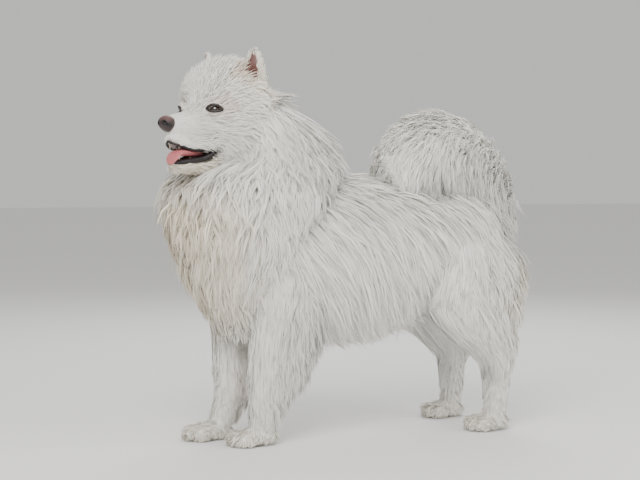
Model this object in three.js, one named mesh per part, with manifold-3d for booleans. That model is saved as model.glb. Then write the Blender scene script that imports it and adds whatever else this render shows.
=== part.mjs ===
// A life-size Samoyed dog, standing, as a still museum model.
// Millimetres. The nose points to -Y, the dog's left side is +X and +Z is up.
// Flesh and undercoat are smooth lofted cores. The long coat is flat, tapered locks that grow out of them.
import * as THREE from "three";
import { mergeVertices } from "three/addons/utils/BufferGeometryUtils.js";
import Module from "manifold-3d";

const wasm = await Module();
wasm.setup();

// Driving dimensions
const WITHERS_HEIGHT = 550;
const TRUNK_LENGTH = 640; // from the front of the breastbone to the seat bone
const HEAD_LENGTH = 226; // from the nose to the back of the skull
const HEAD_TURN = 21; // degrees that the head turns to the dog's left
const FORE_STANCE = 104; // between the middles of the two forepaws
const HIND_STANCE = 196;
const RIGHT_STEP = -62; // the right forepaw stands this far ahead of the left one
const EYE_RADIUS = 12;
const GAP = 0.3; // between pieces that touch
const LOCK_GAP = 1.4; // round a lock that another node's lock is cut clear of
const CORE_SHARE = 0.5; // how much of the coat's depth is solid undercoat where locks grow

// Landmarks worked out from the driving dimensions
const BREAST_Y = -TRUNK_LENGTH / 2 - 5;
const SEAT_Y = TRUNK_LENGTH / 2 - 8;
const CHEST_Z = 0.79 * WITHERS_HEIGHT;
const ELBOW_Z = 0.55 * WITHERS_HEIGHT;
const HOCK_Z = 0.26 * WITHERS_HEIGHT;
const NECK_PIVOT = new THREE.Vector3(0, -250, 0);
const NOSE_Y = NECK_PIVOT.y - HEAD_LENGTH - 19;
const MUZZLE_Z = 1.208 * WITHERS_HEIGHT;

const BACKWARD = new THREE.Vector3(0, 1, 0);
const DOWNWARD = new THREE.Vector3(0, 0, -1);

// One seeded generator for all the small differences between locks
let seed = 0;
function random() {
  seed = (seed * 1664525 + 1013904223) % 4294967296;
  return seed / 4294967296;
}
const vary = (amount) => (random() * 2 - 1) * amount;
const lerp = THREE.MathUtils.lerp;
const vec = (x, y, z) => new THREE.Vector3(x, y, z);

// A closed body through stations. Each station has a middle (at), the flesh's half sizes to the
// side, above and below it, and the coat's depth in the same three directions.
// A loft runs from head to tail and from top to foot, so that above is the back of the dog and of a leg.
class Loft {
  constructor(stations, { sides = 16, rings = 12, axis, square = 2, core = CORE_SHARE } = {}) {
    this.axis = axis;
    this.core = core;
    this.square = square;
    this.sides = sides;
    this.rings = rings;
    const curve = (key) =>
      new THREE.CatmullRomCurve3(
        stations.map((s) => vec(...s[key])),
        false,
        "catmullrom",
        0.5,
      );
    this.middle = curve("at");
    this.flesh = curve("flesh");
    this.coat = curve("coat");
  }

  // The way along the body: one fixed direction, or that of a curved path.
  along(t) {
    return this.axis ? this.axis.clone() : this.middle.getTangent(t);
  }

  // The point at share t of the length and at an angle round it, at a share of the coat's depth.
  at(t, angle, share = this.core, swell = 0) {
    const u = THREE.MathUtils.clamp(t, 0, 1);
    const along = this.along(u);
    const side = vec(1, 0, 0).addScaledVector(along, -along.x).normalize();
    const above = side.clone().cross(along);
    const flesh = this.flesh.getPoint(u);
    const coat = this.coat.getPoint(u);
    const size = flesh.addScaledVector(coat, share).addScalar(swell);
    const a = THREE.MathUtils.degToRad(angle);
    const n = this.square;
    const reach = (Math.abs(Math.cos(a)) ** n + Math.abs(Math.sin(a)) ** n) ** (-1 / n);
    const rise = Math.sin(a) * reach;
    return this.middle
      .getPoint(u)
      .addScaledVector(side, Math.cos(a) * reach * size.x)
      .addScaledVector(above, rise * (rise > 0 ? size.y : size.z));
  }

  // The direction straight out of the surface.
  outward(t, angle) {
    const u = THREE.MathUtils.clamp(t, 0.01, 0.99);
    const onward = this.at(u + 0.01, angle).sub(this.at(u - 0.01, angle));
    const round = this.at(u, angle + 2).sub(this.at(u, angle - 2));
    return onward.cross(round).normalize();
  }

  // The solid between two shares of the length, with flat ends.
  solid(swell = 0, from = 0, to = 1, share = this.core) {
    const rings = Math.max(2, Math.round(this.rings * (to - from)));
    const points = [];
    for (let i = 0; i <= rings; i++) {
      const t = lerp(from, to, i / rings);
      for (let j = 0; j < this.sides; j++)
        points.push(this.at(t, (360 * j) / this.sides, share, swell));
    }
    const first = this.middle.getPoint(from);
    const last = this.middle.getPoint(to);
    if (swell) {
      const slide = (start, end, t, way) => {
        const shift = this.along(t).multiplyScalar(swell * way);
        for (let j = start; j < end; j++) points[j].add(shift);
        return shift;
      };
      first.add(slide(0, this.sides, from, -1));
      last.add(slide(points.length - this.sides, points.length, to, 1));
    }
    return skin(points, this.sides, first, last);
  }
}

// A solid from rings of points, closed by a middle point at each end.
function skin(points, sides, first, last) {
  const rings = points.length / sides;
  const index = [];
  for (let i = 0; i < rings - 1; i++)
    for (let j = 0; j < sides; j++) {
      const a = i * sides + j;
      const b = i * sides + ((j + 1) % sides);
      index.push(a, b + sides, b, a, a + sides, b + sides);
    }
  const start = points.length;
  const end = start + 1;
  for (let j = 0; j < sides; j++) {
    const k = (j + 1) % sides;
    index.push(start, j, k);
    if (last) index.push(end, start - sides + k, start - sides + j);
  }
  const all = last ? [...points, first, last] : [...points, first];
  return manifold(
    all.flatMap((p) => p.toArray()),
    index,
  );
}

function manifold(coordinates, index) {
  return new wasm.Manifold(
    new wasm.Mesh({
      numProp: 3,
      vertProperties: new Float32Array(coordinates),
      triVerts: new Uint32Array(index),
    }),
  );
}

// Any closed three.js geometry as a solid.
function solidOf(geometry) {
  const bare = geometry.clone();
  bare.deleteAttribute("normal");
  bare.deleteAttribute("uv");
  const merged = mergeVertices(bare, 1e-3);
  return manifold(merged.attributes.position.array, merged.index.array);
}

function ellipsoid(centre, radii, { turn = [0, 0, 0], detail = [12, 8], swell = 0 } = {}) {
  const geometry = new THREE.SphereGeometry(1, ...detail);
  geometry.rotateX(Math.PI / 2);
  geometry.scale(...radii.map((r) => r + swell));
  geometry.applyMatrix4(
    new THREE.Matrix4().makeRotationFromEuler(
      new THREE.Euler(...turn.map(THREE.MathUtils.degToRad)),
    ),
  );
  geometry.translate(...centre.toArray());
  return solidOf(geometry);
}

// A tapered round body along a few points, such as a claw, a tooth or a lip.
function taper(points, radii, { sides = 6, steps = 4, swell = 0 } = {}) {
  const path = new THREE.CatmullRomCurve3(points);
  const sizes = new THREE.CatmullRomCurve3(radii.map((r) => vec(r, 0, 0)));
  const rings = [];
  for (let i = 0; i <= steps; i++) {
    const t = i / steps;
    const along = path.getTangent(t);
    const guide = Math.abs(along.z) < 0.8 ? vec(0, 0, 1) : vec(0, 1, 0);
    const side = guide.cross(along).normalize();
    const above = side.clone().cross(along);
    for (let j = 0; j < sides; j++) {
      const a = (2 * Math.PI * j) / sides;
      const r = sizes.getPoint(t).x + swell;
      rings.push(
        path
          .getPoint(t)
          .addScaledVector(side, Math.cos(a) * r)
          .addScaledVector(above, Math.sin(a) * r),
      );
    }
  }
  const first = path.getPoint(0).addScaledVector(path.getTangent(0), -swell);
  const last = path.getPoint(1).addScaledVector(path.getTangent(1), swell);
  return skin(rings, sides, first, last);
}

// The shape of every lock: its width along its length, as a share of the widest place.
const LOCK_STEPS = [0, 0.42, 0.78];
const LOCK_WIDTHS = [0.75, 1, 0.62];
// Its section: a flat underside and a low ridge, as shares of half the width and of half the thickness.
const LOCK_CORNERS = [[1, -0.6], [0, 1.4], [-1, -0.6]];

// A flat lock along a path of points, ending in a tip. outward says which way its broad side faces.
function lock(points, outward, width, thick, swell) {
  const path = new THREE.CatmullRomCurve3(points);
  const rings = LOCK_STEPS.map((t, i) => {
    const along = path.getTangent(t);
    const across = along.clone().cross(outward).normalize();
    const up = across.clone().cross(along);
    const half = (LOCK_WIDTHS[i] * width) / 2;
    const deep = (LOCK_WIDTHS[i] * thick) / 2;
    // A thin edge has to move far out before both of its faces clear the same gap.
    const spread = swell / Math.tan(Math.atan2(2 * deep, half) / 2);
    const centre = path.getPoint(t);
    const corners = LOCK_CORNERS.map(([a, b]) =>
      centre
        .clone()
        .addScaledVector(across, a * (half + spread))
        .addScaledVector(up, b * deep + Math.sign(b) * 1.2 * swell),
    );
    return { centre, corners };
  });
  rings[0].centre.addScaledVector(path.getTangent(0), -swell);
  const tip = path.getPoint(1).addScaledVector(path.getTangent(1), 4 * swell);
  return skin(rings.flatMap((ring) => ring.corners), LOCK_CORNERS.length, rings[0].centre, tip);
}

// Rows of locks on a loft. They grow from the core, follow the surface along and down, and end at the
// coat's full depth. drop is how far the tip hangs away from that line, along X (outwards), Y and Z.
// The heights are shares of the coat's depth along a lock, from its sunk root to its tip.
const LOCK_HEIGHTS = [0.2, 0.72, 0.92, 1];
const LOCK_THICKNESS = 12;
// How far each lock strays from its row: in degrees, in shares of the length, in reach and in width
const ANGLE_STRAY = 3;
const START_STRAY = 0.008;
const REACH_STRAY = 0.12;
const WIDTH_STRAY = 0.15;
function rowsOfLocks(loft, rows) {
  const made = [];
  for (const row of rows) {
    for (let i = 0; i < row.count; i++) {
      const place = (i + 0.5) / row.count;
      const angle = lerp(row.angles[0], row.angles[1], place) + vary(ANGLE_STRAY);
      const facing = Math.cos(THREE.MathUtils.degToRad(angle));
      const start = row.from + vary(START_STRAY);
      const reach = row.reach * (1 + vary(REACH_STRAY));
      const turn = -(row.turn ?? 0) * facing;
      const drop = row.drop ?? [0, 0, 0];
      const points = LOCK_HEIGHTS.map((share, k) => {
        const s = k / (LOCK_HEIGHTS.length - 1);
        const t = start + reach * s;
        return loft
          .at(t, angle + turn * s, share)
          .add(vec(drop[0] * facing, drop[1], drop[2]).multiplyScalar(s * s));
      });
      made.push({
        points,
        outward: loft.outward(start, angle),
        width: row.width * (1 + vary(WIDTH_STRAY)),
        thick: row.thick ?? LOCK_THICKNESS,
      });
    }
  }
  return made;
}

const moved = (entry, matrix) => ({
  ...entry,
  points: entry.points.map((p) => p.clone().applyMatrix4(matrix)),
  outward: entry.outward.clone().transformDirection(matrix),
});

const union = (solids) => wasm.Manifold.union(solids);
const largest = (solid) =>
  solid.decompose().reduce((a, b) => (b.volume() > a.volume() ? b : a));

// The trunk, from the breastbone to the seat
const trunkStation = (y, z, flesh, coat) => ({ at: [0, y, z], flesh, coat });
const trunk = new Loft(
  [
    trunkStation(BREAST_Y - 10, CHEST_Z - 34, [50, 44, 52], [30, 30, 30]),
    trunkStation(BREAST_Y + 40, CHEST_Z - 22, [84, 80, 82], [54, 40, 60]),
    trunkStation(BREAST_Y + 115, CHEST_Z - 3, [106, 110, 108], [62, 44, 84]),
    trunkStation(-80, CHEST_Z - 3, [118, 104, 122], [56, 42, 100]),
    trunkStation(30, CHEST_Z - 2, [117, 100, 114], [52, 42, 108]),
    trunkStation(125, CHEST_Z + 8, [104, 90, 92], [54, 44, 108]),
    trunkStation(SEAT_Y - 92, CHEST_Z + 16, [94, 78, 74], [60, 46, 76]),
    trunkStation(SEAT_Y - 22, CHEST_Z + 8, [70, 58, 60], [72, 50, 64]),
    trunkStation(SEAT_Y + 24, CHEST_Z - 2, [34, 28, 32], [46, 40, 40]),
  ],
  { sides: 14, rings: 9, axis: BACKWARD },
);
const TRUNK_SPLIT = 0.5;

// The neck, from the skull down into the trunk
const neck = new Loft(
  [
    { at: [4, -258, 724], flesh: [46, 40, 40], coat: [40, 34, 10] },
    { at: [4, -250, 690], flesh: [60, 54, 48], coat: [74, 66, 14] },
    { at: [4, -240, 640], flesh: [68, 64, 62], coat: [88, 104, 20] },
    { at: [2, -236, 600], flesh: [74, 72, 72], coat: [96, 112, 36] },
    { at: [0, -234, 565], flesh: [78, 78, 84], coat: [102, 110, 104] },
    { at: [0, -234, 510], flesh: [86, 84, 94], coat: [104, 86, 114] },
    { at: [0, -236, 450], flesh: [86, 70, 90], coat: [92, 60, 104] },
    { at: [0, -240, 390], flesh: [76, 56, 74], coat: [82, 44, 94] },
    { at: [0, -246, 326], flesh: [58, 40, 56], coat: [62, 36, 78] },
    { at: [0, -252, 266], flesh: [30, 24, 28], coat: [36, 24, 56] },
  ],
  { sides: 14, rings: 9, axis: DOWNWARD },
);

// The head in its own straight frame, from the muzzle's front to the back of the skull
const headTurn = new THREE.Matrix4()
  .makeTranslation(...NECK_PIVOT.toArray())
  .multiply(
    new THREE.Matrix4().makeRotationZ(THREE.MathUtils.degToRad(HEAD_TURN)),
  )
  .multiply(
    new THREE.Matrix4().makeTranslation(...NECK_PIVOT.clone().negate().toArray()),
  );
const headStation = (back, rise, flesh, coat) => ({
  at: [0, NOSE_Y + back, MUZZLE_Z + rise],
  flesh,
  coat,
});
const head = new Loft(
  [
    headStation(6, 0, [13, 17, 23], [0, 0, 0]),
    headStation(16, 0, [22, 24, 32], [0, 0, 0]),
    headStation(42, 1, [30, 28, 42], [0, 0, 0]),
    headStation(66, 3, [36, 32, 45], [0, 0, 0]),
    headStation(88, 8, [43, 39, 48], [0, 0, 0]),
    headStation(108, 17, [58, 56, 52], [2, 0, 0]),
    headStation(132, 26, [68, 88, 88], [24, 2, 34]),
    headStation(162, 30, [72, 102, 98], [46, 4, 50]),
    headStation(196, 33, [66, 98, 90], [54, 6, 44]),
    headStation(226, 35, [44, 64, 62], [28, 12, 26]),
  ],
  { sides: 16, rings: 14, axis: BACKWARD, square: 2.5 },
);

// The lower jaw, from the throat to the chin
const jawStation = (back, drop, flesh, coat) => ({
  at: [0, NOSE_Y + back, MUZZLE_Z - drop],
  flesh,
  coat,
});
const jaw = new Loft(
  [
    jawStation(24, 77, [7, 4, 4], [1, 0, 2]),
    jawStation(34, 80, [14, 9, 8], [3, 1, 3]),
    jawStation(56, 82, [20, 12, 9], [5, 1, 5]),
    jawStation(86, 82, [26, 14, 11], [8, 1, 8]),
    jawStation(112, 81, [34, 16, 13], [12, 1, 12]),
    jawStation(130, 77, [38, 18, 16], [14, 2, 14]),
    jawStation(152, 70, [38, 22, 20], [14, 2, 16]),
  ],
  { sides: 10, rings: 6, axis: BACKWARD, square: 2.3, core: 1 },
);

// Legs: the upper part has long hair behind it, the lower part and the paw are short-coated
function foreleg(side, step) {
  const x = (at) => side * at;
  const paw = FORE_STANCE / 2;
  const pawY = step - 256;
  const y = (behind, share) => pawY + behind - step * share;
  const wrist = { at: [x(paw + 6), y(12, 0.5), 132], flesh: [32, 48, 32], coat: [10, 54, 2] };
  return {
    upper: new Loft(
      [
        { at: [x(74), y(44, 0.95), ELBOW_Z + 110], flesh: [42, 58, 54], coat: [30, 30, 30] },
        { at: [x(80), y(46, 0.8), ELBOW_Z + 30], flesh: [40, 52, 44], coat: [34, 60, 28] },
        { at: [x(74), y(34, 0.5), ELBOW_Z - 30], flesh: [44, 42, 50], coat: [24, 88, 4] },
        { at: [x(67), y(18, 0.5), ELBOW_Z - 110], flesh: [36, 40, 39], coat: [18, 84, 2] },
        wrist,
      ],
      { sides: 10, rings: 6, axis: DOWNWARD },
    ),
    lower: new Loft(
      [
        wrist,
        { at: [x(paw + 4), y(11, 0.44), 92], flesh: [32, 46, 31], coat: [2, 8, 0] },
        { at: [x(paw + 1), y(12, 0.24), 54], flesh: [29, 37, 28], coat: [0, 2, 0] },
        { at: [x(paw), y(8, 0.1), 28], flesh: [28, 28, 26], coat: [0, 0, 0] },
      ],
      { sides: 12, rings: 4, axis: DOWNWARD },
    ),
    paw: vec(x(paw), pawY, 0),
  };
}

function hindleg(side) {
  const x = (at) => side * at;
  const paw = HIND_STANCE / 2;
  const hock = { at: [x(paw), 300, HOCK_Z + 18], flesh: [29, 34, 33], coat: [8, 22, 3] };
  return {
    upper: new Loft(
      [
        { at: [x(60), 220, ELBOW_Z + 170], flesh: [44, 60, 54], coat: [24, 24, 24] },
        { at: [x(78), 220, ELBOW_Z + 95], flesh: [50, 84, 66], coat: [40, 72, 30] },
        { at: [x(86), 216, ELBOW_Z + 25], flesh: [48, 84, 62], coat: [42, 92, 36] },
        { at: [x(90), 216, ELBOW_Z - 30], flesh: [42, 66, 52], coat: [38, 96, 34] },
        { at: [x(94), 250, ELBOW_Z - 86], flesh: [30, 42, 36], coat: [30, 70, 28] },
        hock,
      ],
      { sides: 12, rings: 7, axis: DOWNWARD },
    ),
    lower: new Loft(
      [
        hock,
        { at: [x(paw), 306, HOCK_Z - 20], flesh: [28, 33, 30], coat: [1, 2, 0] },
        { at: [x(paw), 305, 76], flesh: [27, 28, 27], coat: [0, 0, 0] },
        { at: [x(paw), 302, 48], flesh: [27, 26, 27], coat: [0, 0, 0] },
        { at: [x(paw), 297, 26], flesh: [27, 25, 25], coat: [0, 0, 0] },
      ],
      { sides: 12, rings: 5, axis: DOWNWARD },
    ),
    paw: vec(x(paw), 288, 0),
  };
}

// The tail, from the croup up and forward over the back, its end leaning to the dog's left
const tail = new Loft(
  [
    { at: [0, SEAT_Y - 58, 462], flesh: [24, 22, 22], coat: [20, 20, 20] },
    { at: [0, SEAT_Y - 18, 516], flesh: [22, 20, 20], coat: [60, 40, 72] },
    { at: [4, SEAT_Y - 26, 572], flesh: [19, 18, 18], coat: [82, 56, 92] },
    { at: [12, SEAT_Y - 80, 612], flesh: [17, 16, 16], coat: [90, 60, 86] },
    { at: [24, SEAT_Y - 144, 614], flesh: [15, 14, 14], coat: [86, 60, 82] },
    { at: [38, SEAT_Y - 202, 594], flesh: [12, 12, 12], coat: [76, 46, 70] },
    { at: [48, SEAT_Y - 248, 564], flesh: [7, 7, 7], coat: [50, 24, 48] },
  ],
  { sides: 10, rings: 10 },
);
const TAIL_SPLITS = [0.34, 0.66];

// Nodes in the order in which they are cut: each core gives way to the cores before it, and each
// node's locks give way to all other cores and to the locks of the nodes before it.
const parts = [];
const addPart = (name, pivot, slot, core, grow, outline = core) =>
  parts.push({ name, pivot, slot, core, grow, outline });

const lofted =
  (loft, from, to) =>
  (swell) =>
    loft.solid(swell, from, to);
const half = GAP / 2;
// Where a long body is parted, each side stops half a gap short of the cut.
const parted = (loft, from, to) => {
  const length = loft.middle.getLength();
  const a = from > 0 ? from + half / length : 0;
  const b = to < 1 ? to - half / length : 1;
  return (swell) => loft.solid(swell, a, b);
};

const turned = (build) => (swell) => transform(build(swell), headTurn);
function transform(solid, matrix) {
  return solid.transform(matrix.elements);
}

const trunkRows = [
  { from: 0.2, count: 7, angles: [-50, 230], reach: 0.17, turn: 30, width: 98 },
  { from: 0.32, count: 8, angles: [-64, 244], reach: 0.16, turn: 30, width: 98 },
  { from: 0.44, count: 8, angles: [-58, 238], reach: 0.16, turn: 30, width: 98 },
  { from: 0.56, count: 8, angles: [-64, 244], reach: 0.16, turn: 28, width: 96 },
  { from: 0.68, count: 7, angles: [-44, 224], reach: 0.16, turn: 24, width: 92 },
  { from: 0.28, count: 3, angles: [236, 304], reach: 0.11, width: 80, drop: [0, 14, -26] },
  { from: 0.43, count: 3, angles: [234, 306], reach: 0.11, width: 84, drop: [0, 14, -26] },
  { from: 0.57, count: 3, angles: [234, 306], reach: 0.11, width: 78, drop: [0, 14, -20] },
];
const neckRows = [
  { from: 0.08, count: 5, angles: [-34, 214], reach: 0.2, width: 96, drop: [4, 4, -8] },
  { from: 0.2, count: 7, angles: [-60, 240], reach: 0.2, width: 98, drop: [4, 0, -10] },
  { from: 0.32, count: 9, angles: [-100, 260], reach: 0.2, width: 94, drop: [2, 0, -14] },
  { from: 0.45, count: 9, angles: [-120, 240], reach: 0.19, width: 96, drop: [0, 0, -14] },
  { from: 0.59, count: 7, angles: [176, 364], reach: 0.18, width: 90, drop: [0, 4, -14] },
  { from: 0.73, count: 5, angles: [184, 356], reach: 0.16, width: 82, drop: [0, 8, -14] },
];
const headRows = [
  { from: 0.66, count: 3, angles: [-44, 26], reach: 0.2, turn: 14, width: 44, thick: 9 },
  { from: 0.66, count: 3, angles: [154, 224], reach: 0.2, turn: 14, width: 44, thick: 9 },
  { from: 0.8, count: 3, angles: [-50, 40], reach: 0.18, turn: 12, width: 52, thick: 10 },
  { from: 0.8, count: 3, angles: [140, 230], reach: 0.18, turn: 12, width: 52, thick: 10 },
  { from: 0.7, count: 3, angles: [240, 300], reach: 0.16, width: 44, thick: 9, drop: [0, 6, -10] },
];

// The head's own forms
const inHead = (x, back, rise) => vec(x, NOSE_Y + back, MUZZLE_Z + rise);
const EYE_SHARE = 0.535; // of the head's length
const EYE_ANGLE = 27;
const EYE_BULGE = 5; // beyond the head's surface
function eyeCentre(side) {
  const outward = head.outward(EYE_SHARE, EYE_ANGLE);
  const lens = head.at(EYE_SHARE, EYE_ANGLE).addScaledVector(outward, EYE_BULGE - EYE_RADIUS);
  return vec(side * lens.x, lens.y, lens.z);
}
const gaze = (side) => vec(side * 0.62, -0.78, 0.06).normalize();

function eyeball(side) {
  return (swell) =>
    ellipsoid(eyeCentre(side), [EYE_RADIUS, EYE_RADIUS, EYE_RADIUS], { detail: [10, 8], swell });
}

// An almond ring of lid round the eye, broader than it is high.
function lids(side, swell) {
  const centre = eyeCentre(side);
  const facing = gaze(side);
  const across = vec(0, 0, 1).cross(facing).normalize();
  const up = facing.clone().cross(across);
  const points = [];
  const count = 12;
  for (let i = 0; i < count; i++) {
    const a = (2 * Math.PI * i) / count;
    const reach = 16.5 * Math.cos(a);
    const rise = 8.2 * Math.sin(a) - 0.12 * reach * side;
    const deep = EYE_RADIUS + 1.5 - 0.018 * reach * reach;
    points.push(
      centre
        .clone()
        .addScaledVector(across, reach)
        .addScaledVector(up, rise)
        .addScaledVector(facing, deep),
    );
  }
  const path = new THREE.CatmullRomCurve3(points, true);
  const ring = new THREE.ExtrudeGeometry(
    new THREE.Shape().absarc(0, 0, 3 + swell, 0, 2 * Math.PI),
    { steps: 12, curveSegments: 2, bevelEnabled: false, extrudePath: path },
  );
  return solidOf(ring);
}

// The dark lips run along the muzzle's lower edge and the jaw's upper edge to the mouth's corner.
const LIP_SHARES = [0, 0.25, 0.5, 0.75, 1];
function lips(loft, from, to, angle, side, swell) {
  const points = LIP_SHARES.map((s) => {
    const p = loft.at(lerp(from, to, s), angle);
    return vec(side * p.x, p.y, p.z);
  });
  return taper(points, [2.6, 3.4, 3.8, 3.8, 3], { sides: 5, steps: 5, swell });
}
const upperLips = (swell) => [-1, 1].map((side) => lips(head, 0.03, 0.6, -62, side, swell));
const lowerLips = (swell) => [-1, 1].map((side) => lips(jaw, 0.06, 0.8, 34, side, swell));

// A tooth: how far out it stands, how far behind the nose, how low its root is, its length and radius
const UPPER_TEETH = [[14, 25, 30, 17, 3.4], [19, 56, 36, 8, 4], [23, 76, 36, 9, 5], [4, 15, 27, 7, 2.6]];
const LOWER_TEETH = [[11, 35, 74, 14, 3.2], [16, 62, 72, 8, 4], [20, 82, 71, 9, 5], [4, 30, 75, 6, 2.4]];
function teeth(rows, way, swell) {
  return [-1, 1].flatMap((side) =>
    rows.map(([out, back, drop, length, radius]) => {
      const root = vec(side * out, NOSE_Y + back, MUZZLE_Z - drop);
      const tip = root.clone().add(vec(0, 2, way * length));
      return taper([root.clone().lerp(tip, -0.5), tip], [1.3 * radius, 0.5], { sides: 4, steps: 1, swell });
    }),
  );
}

// The open mouth between the jaws
const mouthHollow = (swell) =>
  ellipsoid(inHead(0, 74, -52), [22, 62, 25], { detail: [12, 8], swell });
const mouthFilling = (swell) => ellipsoid(inHead(0, 80, -56), [38, 62, 26], { swell });
const SOCKET_GAP = 1.2 * GAP;

addPart("head", NECK_PIVOT, "coat", turned((swell) =>
  head
    .solid(swell)
    .subtract(mouthHollow(-swell))
    .add(union([
      ...teeth(UPPER_TEETH, -1, swell),
      ...upperLips(swell),
      ...[-1, 1].map((side) => lids(side, swell)),
    ]))
    .subtract(union([-1, 1].map((side) => eyeball(side)(SOCKET_GAP - swell))))),
  () => rowsOfLocks(head, headRows).map((entry) => moved(entry, headTurn)),
  turned((swell) => head.solid(swell).add(mouthFilling(swell))));

// The bare nose leather with its two nostrils
const NOSE_TOP = inHead(0, 14, 7);
addPart("nose", NOSE_TOP, "nose_leather", turned((swell) => {
  const pad = ellipsoid(NOSE_TOP, [17, 12, 15], { turn: [12, 0, 0], detail: [12, 8], swell });
  const nostrils = [-1, 1].map((side) =>
    taper(
      [
        inHead(side * 21, 12, 3),
        inHead(side * 12, 5, 6),
        inHead(side * 7, -3, 9),
      ],
      [2, 3.4, 3.8],
      { steps: 3, swell: -swell },
    ),
  );
  return pad.subtract(union(nostrils));
}));

addPart("lower_jaw", inHead(0, 130, -60), "coat", turned((swell) =>
  jaw
    .solid(swell)
    .subtract(ellipsoid(inHead(0, 84, -68), [19, 48, 11], { detail: [12, 6], swell: -swell }))
    .add(union([
      ...teeth(LOWER_TEETH, 1, swell),
      ...lowerLips(swell),
    ]))), null, turned(lofted(jaw, 0, 1)));

// The tongue lies in the lower jaw and laps over the front teeth to the left
const tongueStation = (x, back, rise, flesh) => ({
  at: inHead(x, back, rise).toArray(),
  flesh,
  coat: [0, 0, 0],
});
const tongue = new Loft(
  [
    tongueStation(8, 12, -67, [5, 2, 2]),
    tongueStation(8, 18, -62, [12, 4, 4]),
    tongueStation(5, 34, -57, [16, 5, 5]),
    tongueStation(0, 74, -56, [16, 6, 8]),
    tongueStation(0, 112, -54, [14, 6, 8]),
  ],
  { sides: 10, rings: 8, axis: BACKWARD },
);
addPart("tongue", inHead(0, 80, -56), "tongue", turned(lofted(tongue, 0, 1)));

for (const [label, side] of [["left", 1], ["right", -1]])
  addPart(`eye_${label}`, eyeCentre(side), "eye", turned(eyeball(side)));

// Each ear is an upright cone, hollowed from the front and outer side into a cup
const EAR_HEIGHT = 92;
const EAR_OUTWARD = 30; // degrees that the cup faces to the side
for (const [label, side] of [["left", 1], ["right", -1]]) {
  const base = inHead(side * 62, 186, 68);
  const leaf = (height, forward, less) =>
    new Loft(
      [
        { at: [side * 74, base.y + forward, base.z + EAR_HEIGHT * height], flesh: [5, 4, 4] },
        { at: [side * 73, base.y + forward, base.z + EAR_HEIGHT * height * 0.86], flesh: [15, 8, 7] },
        { at: [side * 70, base.y + forward, base.z + EAR_HEIGHT * 0.5], flesh: [28, 14, 12] },
        { at: [side * 66, base.y + forward, base.z + EAR_HEIGHT * 0.18], flesh: [36, 19, 17] },
        { at: [side * 62, base.y + forward, base.z - 14], flesh: [36, 22, 20] },
      ].map((s) => ({ ...s, coat: [-less, -less, -less] })),
      { sides: 12, rings: 6, axis: DOWNWARD },
    );
  const outer = leaf(1, 0, 0);
  const hollow = leaf(0.86, -13, 5);
  const spin = new THREE.Matrix4()
    .makeTranslation(...base.toArray())
    .multiply(new THREE.Matrix4().makeRotationZ(THREE.MathUtils.degToRad(side * EAR_OUTWARD)))
    .multiply(new THREE.Matrix4().makeTranslation(...base.clone().negate().toArray()));
  addPart(`ear_${label}`, base, "coat", turned((swell) =>
    transform(outer.solid(swell, 0, 1, 1).subtract(hollow.solid(-swell, 0, 0.8, 1)), spin)));
}

addPart("neck", vec(0, -232, 580), "coat", lofted(neck, 0, 1), () => rowsOfLocks(neck, neckRows));
addPart("chest", vec(0, -160, CHEST_Z), "coat", parted(trunk, 0, TRUNK_SPLIT),
  () => rowsOfLocks(trunk, trunkRows.filter((row) => row.from < TRUNK_SPLIT)));
addPart("loin", vec(0, 120, CHEST_Z), "coat", parted(trunk, TRUNK_SPLIT, 1),
  () => rowsOfLocks(trunk, trunkRows.filter((row) => row.from >= TRUNK_SPLIT)));

// The tail's three lengths
const tailRows = [
  { from: 0.2, count: 5, angles: [180, 360], reach: 0.1, width: 74, drop: [4, 26, -84] },
  { from: 0.33, count: 5, angles: [165, 375], reach: 0.14, width: 78, drop: [8, 24, -50] },
  { from: 0.46, count: 6, angles: [140, 400], reach: 0.14, width: 78, drop: [10, 12, -20] },
  { from: 0.59, count: 6, angles: [140, 400], reach: 0.14, width: 78, drop: [12, 4, -24] },
  { from: 0.72, count: 5, angles: [150, 390], reach: 0.16, width: 74, drop: [12, 0, -20] },
  { from: 0.85, count: 4, angles: [165, 375], reach: 0.15, width: 64, drop: [6, -6, -14] },
];
const tailNames = ["tail_root", "tail_arch", "tail_end"];
const tailCuts = [0, ...TAIL_SPLITS, 1];
tailNames.forEach((name, i) => {
  const from = tailCuts[i];
  const to = tailCuts[i + 1];
  const rows = tailRows.filter((row) => row.from >= from && row.from < to);
  addPart(name, tail.middle.getPoint((from + to) / 2), "coat", parted(tail, from, to),
    () => rowsOfLocks(tail, rows));
});

// A paw: a broad pad and four toes with claws, cut flat at the floor
function paw(at, length, swell) {
  const spread = [-25, -9, 9, 25];
  const reach = [-0.27, -0.39, -0.39, -0.27];
  const toes = spread.map((x, i) =>
    ellipsoid(at.clone().add(vec(x, reach[i] * length, 15)), [11, 20, 16], { detail: [6, 4], swell }),
  );
  const claws = spread.map((x, i) => {
    const tip = at.clone().add(vec(x * 1.08, (reach[i] - 0.23) * length, 4));
    return taper([tip.clone().add(vec(0, 16, 10)), tip.clone().add(vec(0, 7, 6)), tip], [3.6, 2.8, 0.6], {
      sides: 3,
      steps: 2,
      swell,
    });
  });
  const pad = ellipsoid(at.clone().add(vec(0, 4, 18)), [33, 0.42 * length, 24], { detail: [8, 5], swell });
  const floor = solidOf(new THREE.BoxGeometry(400, 400, 100).translate(at.x, at.y, -50));
  return union([pad, ...toes, ...claws]).subtract(floor);
}

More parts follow.
